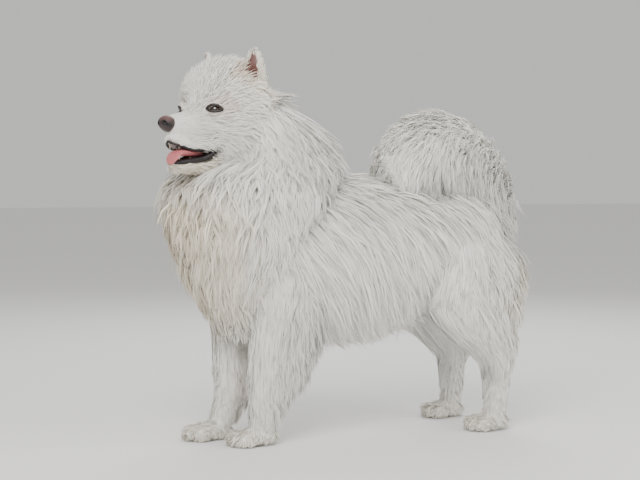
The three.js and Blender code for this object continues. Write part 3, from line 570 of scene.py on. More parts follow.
def to_frame(points):
    return (np.asarray(points, float) + SHIFT) * MILLIMETRE


def from_frame(points):
    return np.asarray(points, float) / MILLIMETRE - SHIFT


SOLID_LOW, SOLID_HIGH = (from_frame(corner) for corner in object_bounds())


def eye_centre(side):
    """The middle of the eye as it shows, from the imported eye."""
    lo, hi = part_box("eye_left" if side > 0 else "eye_right")
    return from_frame((np.array(lo) + np.array(hi)) / 2) + EYE_SHIFT


def toes(paw):
    """Middle points of a paw's four toes and the tips of its claws."""
    (x, y), length = PAWS[paw]
    ahead = TOE_REACH * length
    middle = np.stack([x + TOE_SPREAD, y + ahead, np.full(4, TOE_Z)], 1)
    tip = np.stack([x + TOE_SPREAD * 1.08, y + ahead - CLAW_REACH * length, np.full(4, CLAW_Z)], 1)
    return middle, tip


# Meshes and materials


def new_object(name, points, faces, material, smooth=True, colours=None):
    mesh = bpy.data.meshes.new(name)
    mesh.from_pydata([tuple(p) for p in to_frame(points)], [], faces)
    mesh.validate()
    return finish_object(name, mesh, material, smooth, colours)


def finish_object(name, mesh, material, smooth=True, colours=None):
    if smooth:
        mesh.polygons.foreach_set("use_smooth", np.ones(len(mesh.polygons), bool))
    if colours is not None:
        layer = mesh.color_attributes.new("Tint", "FLOAT_COLOR", "POINT")
        layer.data.foreach_set("color", np.column_stack([colours, np.ones(len(colours))]).ravel())
    mesh.materials.clear()
    mesh.materials.append(material)
    obj = bpy.data.objects.new(name, mesh)
    bpy.context.scene.collection.objects.link(obj)
    return obj


def plain_mesh(obj, name):
    """The object's mesh with its modifiers applied; the object goes."""
    graph = bpy.context.evaluated_depsgraph_get()
    graph.update()
    mesh = bpy.data.meshes.new_from_object(obj.evaluated_get(graph))
    mesh.name = name
    old = obj.data
    bpy.data.objects.remove(obj)
    bpy.data.meshes.remove(old)
    return mesh


def cut(base, tool):
    """One closed (points, faces) surface less another."""
    objects = []
    for label, (points, faces) in (("base", base), ("tool", tool)):
        mesh = bpy.data.meshes.new(label)
        mesh.from_pydata([tuple(p) for p in points], [], faces)
        obj = bpy.data.objects.new(label, mesh)
        bpy.context.scene.collection.objects.link(obj)
        objects.append(obj)
    modifier = objects[0].modifiers.new("Cut", "BOOLEAN")
    modifier.object = objects[1]
    modifier.operation = "DIFFERENCE"
    modifier.solver = "EXACT"
    mesh = plain_mesh(objects[0], "cut")
    spare = objects[1].data
    bpy.data.objects.remove(objects[1])
    bpy.data.meshes.remove(spare)
    points = np.array([v.co[:] for v in mesh.vertices])
    faces = [tuple(p.vertices) for p in mesh.polygons]
    bpy.data.meshes.remove(mesh)
    return points, faces


def material(name, colour=None, roughness=0.5, tint=False, bump=0.0, bump_scale=400.0, **sockets):
    """A Principled material; tint takes the colour from the mesh, bump adds fine relief."""
    made = bpy.data.materials.get(name)
    if made:
        return made
    made = bpy.data.materials.new(name)
    made.use_nodes = True
    nodes, links = made.node_tree.nodes, made.node_tree.links
    shader = nodes["Principled BSDF"]
    shader.inputs["Roughness"].default_value = roughness
    for key, value in sockets.items():
        shader.inputs[key.replace("_", " ")].default_value = value
    if colour:
        shader.inputs["Base Color"].default_value = (*colour, 1)
    if tint:
        source = nodes.new("ShaderNodeAttribute")
        source.attribute_name = "Tint"
        links.new(source.outputs["Color"], shader.inputs["Base Color"])
    if bump:
        group = nodes.new("ShaderNodeGroup")
        group.node_tree = relief_group()
        group.inputs["Scale"].default_value = bump_scale
        group.inputs["Strength"].default_value = bump
        links.new(group.outputs["Normal"], shader.inputs["Normal"])
    return made


def relief_group():
    """The shared fine relief: noise of a given scale turned into a bump."""
    tree = bpy.data.node_groups.get("Fine relief")
    if tree:
        return tree
    tree = bpy.data.node_groups.new("Fine relief", "ShaderNodeTree")
    tree.interface.new_socket("Scale", in_out="INPUT", socket_type="NodeSocketFloat")
    tree.interface.new_socket("Strength", in_out="INPUT", socket_type="NodeSocketFloat")
    tree.interface.new_socket("Normal", in_out="OUTPUT", socket_type="NodeSocketVector")
    entry = tree.nodes.new("NodeGroupInput")
    leave = tree.nodes.new("NodeGroupOutput")
    place = tree.nodes.new("ShaderNodeTexCoord")
    noise = tree.nodes.new("ShaderNodeTexNoise")
    bump = tree.nodes.new("ShaderNodeBump")
    bump.inputs["Distance"].default_value = 0.001
    tree.links.new(place.outputs["Object"], noise.inputs["Vector"])
    tree.links.new(entry.outputs["Scale"], noise.inputs["Scale"])
    tree.links.new(noise.outputs["Fac"], bump.inputs["Height"])
    tree.links.new(entry.outputs["Strength"], bump.inputs["Strength"])
    tree.links.new(bump.outputs["Normal"], leave.inputs["Normal"])
    return tree


def placed(obj, nodes=()):
    """The finished piece on the dog's one body and the nodes it replaces."""
    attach(obj, "root")
    if nodes:
        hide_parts(*nodes)
    return obj


# Markings and painted warm shade, the same on the skin and on the coat


def mix(a, b, amount):
    """Colours taken from a towards b."""
    amount = np.clip(amount, 0, 1)[:, None]
    return a * (1 - amount) + np.asarray(b, float) * amount


def ramp(values, start, end):
    """0 up to start, then an even rise to 1 at end; end may be the lower of the two."""
    return np.clip((values - start) / (end - start), 0, 1)


def patch(points, centre, reach):
    """1 at a centre, fading softly over a reach in each direction."""
    return np.exp(-(((points - np.array(centre)) / reach) ** 2).sum(-1))


def waves(points, size):
    """A soft, seeded unevenness between -1 and 1, about size millimetres long."""
    rng = np.random.default_rng(5)
    total = np.zeros(len(points))
    for _ in range(5):
        way = unit(rng.normal(size=3))
        length = size * rng.uniform(0.7, 1.4)
        total += np.sin(points @ way * 2 * math.pi / length + rng.uniform(0, 6.3))
    return total / 3


def markings_and_painted_shade(points):
    """The fur's colour at each place: its markings, and cream that is partly the coat's own tint and partly
    painted warm shade.
    """
    x, y, z = points.T
    look = bpy.context.scene.samoyed
    cream = look.cream_colour
    colour = np.tile(np.array(look.fur_colour), (len(points), 1))
    # The cream on the chest, feet, seat, jaw and brow is partly the coat's own tint and partly painted warm
    # shade
    chest = ramp(y, -250, -340) * ramp(z, 620, 540) * ramp(z, 230, 310)
    colour = mix(colour, cream, 0.8 * chest)
    feet = ramp(z, 90, 0)
    colour = mix(colour, cream, 0.35 * feet)
    seat = ramp(y, 250, 310) * ramp(z, 200, 280) * ramp(z, 470, 410)
    colour = mix(colour, cream, 0.35 * seat)
    foreleg = patch(points, (-66, -235, 170), (42, 42, 58))
    colour = mix(colour, STAIN, 0.75 * foreleg)
    for side in (-1, 1):
        gap = np.linalg.norm(points - eye_centre(side), axis=1)
        colour = mix(colour, STAIN, 0.45 * ramp(gap, 26, 14))
    x, back, rise = head_straight(points).T
    jaw = ramp(rise, -60, -80) * ramp(back, 160, 130) * ramp(rise, -150, -120)
    brow = patch(np.stack([np.abs(x), back, rise], 1), (48, 150, 50), (26, 34, 34))
    colour = mix(colour, cream, 0.6 * jaw + 0.4 * brow)
    colour = ear_marks(colour, points)
    return colour * (1 + 0.04 * waves(points, 70))[:, None]


# The skin


def paw_shells(paw):
    """A paw's broad pad and its four toes."""
    (x, y), length = PAWS[paw]
    middle, _ = toes(paw)
    pad = ellipsoid((x, y + 4, 19), (29, PAD_LENGTH * length, 19))
    return [pad] + [ellipsoid(c, TOE_RADII) for c in middle]


def ear_shell(side):
    """An upright cone hollowed from the front into a cup."""
    aside, behind, rise = EAR_BASE
    base = np.array([side * aside, NOSE_Y + behind, MUZZLE_Z + rise])

    def place(points):
        return head_turn(spun(points - base, math.radians(side * EAR_OUTWARD)) + base)

    def leaf(height, ahead, less):
        rows = []
        for x, z, *sizes in EAR:
            middle = (base[0] + side * x, base[1] - ahead, base[2] + EAR_HEIGHT * height * z)
            rows.append((*middle, *sizes, -less, -less, -less))
        return Loft(rows, DOWNWARD, 2, ((0, 1), (1, 1)), place)

    cup = leaf(EAR_CUP_HEIGHT, EAR_CUP_AHEAD, EAR_CUP_LESS)
    return cut(leaf(1, 0, 1).shell(28, 24), cup.shell(24, 20))


def open_lids(points):
    """Skin in front of the eyeball, inside the almond of the lids, sinks behind the eyeball's surface."""
    for side in (-1, 1):
        centre, facing = eye_centre(side), gaze(side)
        across = unit(np.cross([0, 0, 1], facing))
        up = np.cross(facing, across)
        off = points - centre
        x, z, ahead = off @ across, off @ up, off @ facing
        far = np.linalg.norm(off, axis=1)
        open_ = (x / LID_REACH) ** 2 + ((z - 1.5) / LID_RISE) ** 2 < 1
        open_ &= (ahead > -2) & (far < 30)
        points[open_] = centre + unit(off[open_]) * (EYE_RADIUS - SKIN_BELOW_EYE)
        lid = ~open_ & (far < EYE_RADIUS + LID_THICKNESS) & (ahead > -4)
        points[lid] = centre + unit(off[lid]) * (EYE_RADIUS + LID_THICKNESS)
    return points


def skin_shells():
    """Every overlapping body of the dog's flesh, as one mesh of closed surfaces."""
    shells = []
    for name, loft in LOFTS.items():
        shell = loft.shell()
        if name in HOLLOWS:
            shell = cut(shell, head_ellipsoid(*HOLLOWS[name]))
        shells.append(shell)
    for paw in PAWS:
        shells += paw_shells(paw)
    for side in (-1, 1):
        flews = [in_head(side * (x - 1), back, rise + 9) for x, back, rise in UPPER_LIP]
        shells.append(tube(flews, FLEWS_RADII, 14, 40))
        shells.append(ear_shell(side))
        line, way = almond(side, SOCKET_REACH, SOCKET_RISE, EYE_RADIUS - SOCKET_DEPTH)
        shells.append(ring_tube(line, way, SOCKET_RADIUS))
        shells.append(ellipsoid(eye_centre(side) - EYE_BED_BEHIND * gaze(side), (EYE_BED_RADIUS,) * 3))
    return joined(shells)


def build_skin(settings):
    made = material("Samoyed skin", tint=True)
    obj = new_object("skin_shells", *skin_shells(), made)
    remesh = obj.modifiers.new("Skin", "REMESH")
    remesh.mode = "VOXEL"
    remesh.voxel_size = settings.skin_detail * 1
    smooth = obj.modifiers.new("Soften", "SMOOTH")
    smooth.iterations = 5
    smooth.factor = 0.5
    mesh = plain_mesh(obj, "samoyed_skin")
    co = np.empty(len(mesh.vertices) * 3)
    mesh.vertices.foreach_get("co", co)
    points = open_lids(from_frame(co.reshape(-1, 3)))
    points[:, 2] = np.maximum(points[:, 2], SKIN_FLOOR)
    mesh.vertices.foreach_set("co", to_frame(points).ravel())
    skin = finish_object("samoyed_skin", mesh, made, colours=skin_colours(points))
    nodes = [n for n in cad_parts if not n.startswith(("eye_", "nose", "tongue"))]
    placed(skin, nodes)


def ear_places(points):
    """Where points lie in an ear's own frame: to its side, ahead of its middle, and above its base."""
    x, back, rise = head_straight(points).T
    c, s = math.cos(math.radians(EAR_OUTWARD)), math.sin(math.radians(EAR_OUTWARD))
    aside, behind = np.sign(x) * x - EAR_BASE[0], back - EAR_BASE[1]
    return c * aside + s * behind, s * aside - c * behind, rise - EAR_BASE[2]


def ear_marks(colour, points):
    """Tan fur towards the ears' open front."""
    aside, ahead, rise = ear_places(points)
    near = (np.abs(aside - 6) < 46) & (np.abs(ahead) < 40) & (rise > -24)
    return mix(colour, EAR_FUR, 0.6 * near * ramp(ahead, -1, 9) * ramp(rise, -24, -4))


def skin_colours(points):
    """The markings with their painted warm shade, with the mouth dark, and the ears' cups dark as their own
    skin with painted shade in the hollow.
    """
    colour = markings_and_painted_shade(points)
    colour[inside(head_straight(points), *MOUTH_SKIN)] = MOUTH
    aside, ahead, height = ear_places(points)
    off_middle = np.abs(aside - np.interp(height, *CUP_MIDDLE)) / np.interp(height, *CUP_HALF_WIDTH)
    # Painted shade: the ear's cup is its own skin colour darkened in the hollow, where shade falls
    cup = ramp(off_middle, 1.15, 0.85) * ramp(ahead, -4, 1) * (height > -8)
    return mix(colour, EAR_CUP_SKIN_AND_SHADE, cup)


# Hair


def kept_near(points):
    """Loose tips that stray far beyond the solids are drawn in, and none goes through the floor."""
    middle, reach = (SOLID_HIGH + SOLID_LOW) / 2, (SOLID_HIGH - SOLID_LOW) / 2
    past = np.abs(points - middle) - reach
    drawn = STRAY_REACH * np.tanh(np.maximum(past, 0) / STRAY_REACH)
    points = np.where(past > 0, middle + np.sign(points - middle) * (reach + drawn), points)
    points[..., 2] = np.maximum(points[..., 2], COAT_FLOOR)
    return points


class Coat:
    """Collects tufts: a path of four points each, the outward way, a width, a place on the unwrap."""

    def __init__(self, seed):
        self.rng = np.random.default_rng(seed)
        self.paths, self.outs, self.widths, self.spread, self.places = [], [], [], [], []

    def add(self, paths, outs, widths, spread, places):
        self.paths.append(paths)
        self.outs.append(outs)
        self.widths.append(widths)
        self.spread.append(np.broadcast_to(spread, widths.shape))
        self.places.append(places)

    def build(self, name, strands):
        """Each tuft becomes a few thin strands that share its tip, with six corners and four faces each."""
        rng = self.rng
        paths = np.repeat(np.vstack(self.paths), strands, 0)
        outs = np.repeat(np.vstack(self.outs), strands, 0)[:, None]
        widths = np.repeat(np.concatenate(self.widths), strands)
        spread = np.repeat(np.concatenate(self.spread), strands)
        places = np.repeat(np.vstack(self.places), strands, 0)
        count = len(paths)
        roots = paths[:, 0].copy()
        along = unit(np.gradient(paths, axis=1))
        across = unit(np.cross(along, outs))
        up = np.cross(across, along)
        sideways = (rng.uniform(-1, 1, count) * spread)[:, None] * STRAND_FAN
        raised = (rng.uniform(-1, 1, count) * spread * 0.5)[:, None] * STRAND_FAN
        paths = paths + across * sideways[..., None] + up * raised[..., None]
        length = np.linalg.norm(paths[:, 3] - paths[:, 0], axis=1)
        paths[:, 3] += along[:, 3] * (rng.uniform(*STRAND_UNEVEN, count) * length)[:, None]
        twist = rng.uniform(-STRAND_TWIST, STRAND_TWIST, count)[:, None, None]
        blade = across * np.cos(twist) + up * np.sin(twist)
        half = widths[:, None, None] / 2 * np.array([1.0, 0.75])[None, :, None]
        left = paths[:, 1:3] - blade[:, 1:3] * half
        right = paths[:, 1:3] + blade[:, 1:3] * half
        points = kept_near(np.concatenate([paths[:, :1], left, right, paths[:, 3:]], 1))
        flat = np.cross(blade, along)
        flat = flat * np.sign((flat * outs).sum(2, keepdims=True) + 1e-9)
        shade = unit(SHADE_OWN * flat + (1 - SHADE_OWN) * outs + SHADE_ALONG * along)
        normals = np.concatenate([shade[:, :1], shade[:, 1:3], shade[:, 1:3], shade[:, 3:]], 1)
        colours = strand_colours(roots, 1 + rng.normal(0, 0.03, count))
        corners = np.array([[0, 0], [-1, 1], [-1, 2], [1, 1], [1, 2], [0, 3]], float)
        uv = places[:, None] + corners[None] * PATCH_STEP
        faces = np.array([[0, 3, 1], [1, 3, 4], [1, 4, 2], [2, 4, 5]])
        index = (faces[None] + 6 * np.arange(count)[:, None, None]).reshape(-1, 3)
        mesh = mesh_from_arrays(name, points.reshape(-1, 3), index)
        layer = mesh.uv_layers.new(name="OFBake")
        layer.data.foreach_set("uv", uv.reshape(-1, 2)[index.ravel()].ravel())
        made = material("Samoyed coat", roughness=0.62, tint=True, Specular_IOR_Level=0.25)
        obj = finish_object(name, mesh, made, colours=colours.reshape(-1, 3))
        mesh.normals_split_custom_set_from_vertices(normals.reshape(-1, 3))
        placed(obj)


def strand_colours(roots, light):
    """The colours of a strand's six corners: darker at the root, the undercoat's tone with painted shade
    deep in the coat, and a little brighter at the tip as painted light.
    """
    base = markings_and_painted_shade(roots)
    # Painted shade: darker towards the root, deep in the coat; painted light: a little brighter at the tip
    root = (base + np.array(UNDERCOAT_AND_SHADE)) / 2
    tones = [np.clip(tone * light[:, None], 0, 0.95) for tone in (root, base * 0.98, base, base * 1.03)]
    return np.stack([tones[0], *tones[1:3], *tones[1:3], tones[3]], 1)


def mesh_from_arrays(name, points, triangles):
    mesh = bpy.data.meshes.new(name)
    mesh.vertices.add(len(points))
    mesh.vertices.foreach_set("co", to_frame(points).ravel())
    mesh.loops.add(triangles.size)
    mesh.loops.foreach_set("vertex_index", triangles.ravel().astype(np.int32))
    mesh.polygons.add(len(triangles))
    mesh.polygons.foreach_set("loop_start", np.arange(0, triangles.size, 3, dtype=np.int32))
    mesh.update(calc_edges=True)
    return mesh


# How hair lies on each loft: share of the length, reach, turn to the underside, hang along x, y, z
LIE = {
    "trunk": [
        (0, 56, 24, 0, 0, -10),
        (0.3, 70, 46, 0, 0, -12),
        (0.7, 72, 46, 0, 4, -14),
        (1, 56, 14, 0, -10, -50),
    ],
    "neck": [(0, 60, 0, 4, 4, -4), (0.3, 88, 0, 6, 0, -8), (0.7, 84, 0, 0, 0, -12), (1, 64, 0, 0, 6, -16)],
    "head": [(0, 12, 0, 0, 0, 0), (0.5, 30, 6, 2, 0, -2), (0.75, 52, 12, 4, 0, -8), (1, 62, 12, 4, 8, -50)],
    "tail": [
        (0, 60, 0, 4, 6, -94),
        (0.3, 62, 0, 6, 4, -76),
        (0.5, 66, 0, 12, 14, -48),
        (0.75, 66, 0, 14, 0, -56),
        (1, 60, 0, 8, -6, -56),
    ],
    "foreleg": [
        (0, 50, 0, 0, 4, -4),
        (0.5, 66, 0, 0, 8, -14),
        (0.75, 46, 0, 0, 4, -20),
        (1, 16, 0, 0, 0, -4),
    ],
    "hindleg": [
        (0, 56, 0, 0, 0, -6),
        (0.4, 78, 0, 0, -2, -12),
        (0.62, 60, 0, 0, -6, -14),
        (0.8, 24, 0, 0, 0, -4),
        (1, 12, 0, 0, 0, -2),
    ],
}
# Where each loft's unwrap lies on the tile: left, bottom, width, height
TILES = {
    "trunk": (0.01, 0.01, 0.48, 0.34),
    "neck": (0.51, 0.01, 0.48, 0.34),
    "head": (0.01, 0.37, 0.30, 0.20),
    "tail": (0.33, 0.37, 0.32, 0.28),
    "foreleg_left": (0.67, 0.37, 0.15, 0.28),
    "foreleg_right": (0.84, 0.37, 0.15, 0.28),
    "hindleg_left": (0.01, 0.67, 0.24, 0.30),
    "hindleg_right": (0.27, 0.67, 0.24, 0.30),
    "surface": (0.53, 0.67, 0.46, 0.32),
}


def spots(loft, count, rng, span, angles):
    """Evenly scattered places on a loft, as shares of its length and angles."""
    t = rng.uniform(*span, count * 6)
    a = rng.uniform(*angles, count * 6)
    share = loft.skin_share(t)
    across = loft.at(t, a + 1, share) - loft.at(t, a - 1, share)
    along = loft.at(t + 0.005, a, share) - loft.at(t - 0.005, a, share)
    area = np.linalg.norm(np.cross(across, along), axis=1)
    keep = rng.uniform(0, np.percentile(area, 98), len(t)) < area
    return t[keep][:count], a[keep][:count]


def hair_paths(loft, lie, t, a, tip, rng, jitter):
    """Paths of hair from the skin, along the lie and out to the coat's depth."""
    table = np.array(lie, float)
    reach, turn, hx, hy, hz = (np.interp(t, table[:, 0], table[:, k]) for k in range(1, 6))
    reach = reach * (1 + rng.normal(0, 0.16 * jitter, len(t))) / loft.length
    sway = rng.normal(0, 12 * jitter, len(t))
    facing = np.cos(np.radians(a))
    base = loft.skin_share(t)
    slack = np.ones(len(t))
    if loft.axis is None:
        slack = np.clip(1 - 1.1 * loft.outward(t, a, 0.6)[:, 2], 0, 1.4)
    steps = []
    for s, height in HAIR_STEPS:
        share = base + (tip - base) * height
        angle = a - turn * facing * s + sway * s
        point = loft.at(t + reach * s, angle, share)
        hang = np.stack([hx * facing, hy, hz], 1) * (s * s * slack)[:, None]
        steps.append(point + hang)
    return np.stack(steps, 1)


def grow(coat, name, count, width, spread, span, angles, guides, clump):
    """Tufts on a loft, drawn together into locks by a scatter of guide hairs."""
    rng = coat.rng
    loft = LOFTS[name]
    lie = LIE[name.split("_")[0]]
    t, a = spots(loft, count, rng, span, angles)
    tip = np.clip(rng.normal(0.95, 0.1, len(t)), 0.6, 1.12)
    loose = rng.uniform(size=len(t)) < LOOSE_SHARE
    tip = np.where(loose, tip + rng.uniform(0.06, 0.22, len(t)), tip)
    paths = hair_paths(loft, lie, t, a, tip, rng, 1.0)
    gt, ga = spots(loft, guides, rng, span, angles)
    guide_tip = np.clip(rng.normal(1.0, 0.09, len(gt)), 0.78, 1.14)
    lead = hair_paths(loft, lie, gt, ga, guide_tip, rng, 1.4)
    tree = KDTree(len(lead))
    for i, p in enumerate(lead[:, 0]):
        tree.insert(Vector(p), i)
    tree.balance()
    shift = rng.normal(0, 9, (len(t), 3))
    near = np.array([tree.find(Vector(p))[1] for p in paths[:, 0] + shift])
    hold = np.where(loose, 0.3, rng.uniform(0.6, 1.15, len(t)))
    pull = clump * LOCK_PULL[None, :, None] * hold[:, None, None]
    paths = paths + (lead[near] - paths) * pull
    outs = loft.outward(t, a, 0.6)
    hidden = np.zeros(len(t), bool)
    for other, body in LOFTS.items():
        if other != name:
            hidden |= body.holds(head_free(paths[:, 1], body), HIDDEN_SHARE)
    left, bottom, wide, high = TILES[name]
    places = np.stack([left + wide * (a % 360) / 360, bottom + high * t], 1)
    for k in (1, 2, 3):
        hidden |= before_cup(paths[:, k])
    keep = ~hidden
    widths = width * rng.uniform(0.7, 1.3, len(t))
    coat.add(paths[keep], outs[keep], widths[keep], spread, places[keep])


def head_free(points, body):
    """Points in the frame in which the body's rows are given."""
    if body.turn not in (head_turn, muzzle_set):
        return points
    return head_straight(points) + (0, NOSE_Y, MUZZLE_Z)


def surface_spots(skin, count, rng, region):
    """Evenly scattered places on the skin's mesh inside a region."""
    mesh = skin.data
    n = len(mesh.polygons)
    centre, normal, area = np.empty(n * 3), np.empty(n * 3), np.empty(n)
    mesh.polygons.foreach_get("center", centre)
    mesh.polygons.foreach_get("normal", normal)
    mesh.polygons.foreach_get("area", area)
    centre, normal = from_frame(centre.reshape(-1, 3)), normal.reshape(-1, 3)
    inside = np.flatnonzero(region(centre, normal))
    chosen = rng.choice(inside, count, p=area[inside] / area[inside].sum())
    size = np.sqrt(area[chosen]) / MILLIMETRE / 2
    points = centre[chosen] + np.cross(normal[chosen], rng.normal(size=(count, 3))) * size[:, None]
    return points, normal[chosen]


def grow_short(coat, skin, count, region, lie, length, width, lift):
    """Short fur on part of the skin; lie and length are functions of the place."""
    rng = coat.rng
    points, normals = surface_spots(skin, count, rng, region)
    way = lie(points, normals) + rng.normal(0, 0.16, points.shape)
    way = unit(way - normals * (way * normals).sum(1, keepdims=True))
    long = length(points) * rng.uniform(0.75, 1.25, len(points))
    raise_ = long * np.interp(long, [8, 28], [lift, 3 * lift])
    steps = []
    for s, rise in FUR_STEPS:
        steps.append(points + way * (long * s)[:, None] + normals * (raise_ * rise)[:, None])
    left, bottom, wide, high = TILES["surface"]
    u = (np.arctan2(points[:, 1], points[:, 0]) / (2 * math.pi) + 0.5) * 0.999
    v = np.clip(points[:, 2] / UNWRAP_HEIGHT, 0, 1)
    places = np.stack([left + wide * u, bottom + high * v], 1)
    widths = width * rng.uniform(0.7, 1.3, len(points))
    coat.add(np.stack(steps, 1), normals, widths, width * 1.4, places)


def bare_face(points):
    """Places that grow no fur: round the eyes, on the nose leather, in the mouth and on the lips."""
    places = head_straight(points)
    bare = inside(places, *MOUTH_BARE) | inside(places, *NOSE_BARE)
    places[:, 0] = np.abs(places[:, 0])
    for line in (UPPER_LIP, LOWER_LIP):
        way = through(line, np.linspace(0, 1, 24))
        bare |= np.linalg.norm(places[:, None] - way, axis=2).min(1) < LIP_BARE
    for side in (-1, 1):
        bare |= np.linalg.norm(points - eye_centre(side), axis=1) < EYE_RADIUS + EYE_BARE
    return bare


def in_face(points, normals):
    x, back, rise = head_straight(points).T
    aside, ahead, height = ear_places(points)
    ear = (height > 4) & (np.abs(aside - 6) < 34) & (ahead < 30)
    skull = (back < 156) | ((back < 205) & (rise > 30))
    return skull & (rise > -98) & (np.abs(x) < 95) & ~ear & ~bare_face(points)


def in_ear(points, normals):
    x, back, rise = head_straight(points).T
    aside, ahead, height = ear_places(points)
    half = np.interp(height, *CUP_HALF_WIDTH) - CUP_EDGE
    cup = (np.abs(aside - np.interp(height, *CUP_MIDDLE)) < half) & (ahead > 0)
    return (rise > 74) & (back > 130) & (np.abs(x) > 34) & ~cup


def before_cup(points):
    """The open space in front of an ear's cup, which stays clear of hair."""
    aside, ahead, height = ear_places(points)
    low, high = -2, EAR_HEIGHT - 2
    return (np.abs(aside - 8) < 15) & (ahead > -6) & (ahead < 34) & (height > low) & (height < high)


def in_nape(points, normals):
    _, back, rise = head_straight(points).T
    aside, _, height = ear_places(points)
    ear = (height > 0) & (np.abs(aside - 6) < 36)
    return (back > 178) & (back < 330) & (rise > -8) & ~ear


def in_seat(points, normals):
    x, y, z = points.T
    return (y > 262) & (np.abs(x) < 84) & (z > 330) & (z < 520)


def in_brisket(points, normals):
    x, y, z = points.T
    return (y < -170) & (np.abs(x) < 72) & (z > 240) & (z < 330) & (normals[:, 2] < -0.25)


def nape_lie(points, normals):
    return np.tile([0.1, 0.45, -0.9], (len(points), 1))


def seat_lie(points, normals):
    one = np.ones(len(points))
    return np.stack([0.004 * points[:, 0], 0.1 * one, -one], 1)


def in_lower_leg(points, normals):
    return (points[:, 2] < 175) & (points[:, 2] > 2) & (normals[:, 2] > -0.8)


def face_lie(points, normals):
    x, _, rise = head_straight(points).T
    aside = 0.35 * np.sign(x) * ramp(np.abs(x), 0, 30)
    return spun(np.stack([aside, np.ones(len(x)), np.where(rise < -20, -0.35, 0.1)], 1), HEAD_TURN)


def face_length(points):
    _, back, rise = head_straight(points).T
    long = np.interp(back, [0, 25, 60, 85, 110, 145, 205], [3, 5, 8, 15, 26, 36, 26])
    for side in (-1, 1):
        gap = np.linalg.norm(points - eye_centre(side), axis=1)
        long = long * np.interp(gap, [16, 26, 40], [0.3, 0.55, 1.0])
    return np.where(rise < -78, np.maximum(long, 13), long)


def ear_lie(points, normals):
    x = head_straight(points)[:, 0]
    return np.stack([0.25 * np.sign(x), np.zeros(len(x)), np.ones(len(x))], 1)


def leg_lie(points, normals):
    low = ramp(points[:, 2], 34, 4)
    return np.stack([0 * low, 0.12 - 1.0 * low, -1 + 0.5 * low], 1)


def leg_length(points):
    return np.interp(points[:, 2], [0, 20, 45, 80, 175], [9, 15, 20, 24, 30])


def even(length):
    """One length of fur everywhere."""
    return lambda points: np.full(len(points), float(length))


# Long coat: a seed, then rows of loft, tufts, width, spread, span, angles, guide hairs, pull to the guides
LONG_COAT = {
    "coat_trunk_front": (1, [("trunk", 8800, 2.3, 8.0, (0.0, 0.5), ALL_ROUND, 480, 0.42)]),
    "coat_trunk_rear": (2, [("trunk", 8800, 2.3, 8.0, (0.5, 0.97), ALL_ROUND, 480, 0.42)]),
    "coat_neck_upper": (3, [
        ("neck", 7800, 2.4, 8.0, (0.03, 0.42), ALL_ROUND, 420, 0.5),
        ("neck", 1300, 2.0, 6.0, (0.12, 0.36), UNDERSIDE, 90, 0.35),
    ]),
    "coat_neck_lower": (4, [("neck", 8600, 2.4, 8.0, (0.42, 0.97), ALL_ROUND, 420, 0.48)]),
    "coat_head": (5, [("head", 8500, 1.6, 4.0, (0.5, 0.98), ALL_ROUND, 260, 0.35)]),
    "coat_tail": (6, [("tail", 8600, 2.4, 9.0, (0.04, 0.98), ALL_ROUND, 240, 0.55)]),
    "coat_tail_root": (11, [
        ("tail", 2800, 2.4, 9.0, (0.04, 0.4), ALL_ROUND, 90, 0.55),
        ("tail", 2500, 2.4, 9.0, (0.4, 0.98), ALL_ROUND, 90, 0.5),
    ]),
    "coat_forelegs": (7, [
        ("foreleg_left", 3900, 2.2, 6.0, (0.0, 0.9), ALL_ROUND, 220, 0.5),
        ("foreleg_right", 3900, 2.2, 6.0, (0.0, 0.9), ALL_ROUND, 220, 0.5),
    ]),
    "coat_hindlegs": (8, [
        ("hindleg_left", 4100, 2.3, 7.0, (0.0, 0.72), ALL_ROUND, 240, 0.5),
        ("hindleg_right", 4100, 2.3, 7.0, (0.0, 0.72), ALL_ROUND, 240, 0.5),
    ]),
}
# Short fur: a seed, strands a tuft, then rows of tufts, region, lie, length, width, lift
SHORT_COAT = {
    "coat_face": (9, 2, [
        (18000, in_face, face_lie, face_length, 1.1, 0.22),
        (4500, in_ear, ear_lie, even(10), 1.2, 0.25),
    ]),
    "coat_lower_legs": (10, 2, [(14000, in_lower_leg, leg_lie, leg_length, 1.5, 0.12)]),
    "coat_nape_and_seat": (12, 4, [
        (2800, in_nape, nape_lie, even(52), 1.8, 0.08),
        (3000, in_seat, seat_lie, even(60), 2.2, 0.09),
        (1300, in_brisket, seat_lie, even(46), 2.2, 0.24),
    ]),
}
LONG_STRANDS = 5


def build_coat(settings):
    skin = bpy.data.objects["samoyed_skin"]
    for name, (seed, rows) in LONG_COAT.items():
        coat = Coat(seed)
        for loft, count, *rest in rows:
            grow(coat, loft, int(count * settings.coat_fullness), *rest)
        coat.build(name, LONG_STRANDS)
    for name, (seed, strands, rows) in SHORT_COAT.items():
        coat = Coat(seed)
        for count, *rest in rows:
            grow_short(coat, skin, int(count * settings.coat_fullness), *rest)
        coat.build(name, strands)


# Face


def gaze(side):
    """The way an eye looks."""
    way = np.array(GAZE) * (side, 1, 1)
    return spun(way / np.linalg.norm(way), HEAD_TURN)


def almond(side, reach, rise, deep, count=40):
    """A closed almond line in front of the eye."""
    centre, facing = eye_centre(side), gaze(side)
    across = unit(np.cross([0, 0, 1], facing))
    up = np.cross(facing, across)
    a = np.linspace(0, 2 * math.pi, count, endpoint=False)
    x, z = reach * np.cos(a), rise * np.sin(a) * (1 - 0.35 * np.abs(np.cos(a)) ** 2)
    z = np.where(z < 0, 0.55 * z, z) + 0.12 * rise - 0.06 * x * side
    y = deep - 0.018 * x * x
    return centre + x[:, None] * across + z[:, None] * up + y[:, None] * facing, facing


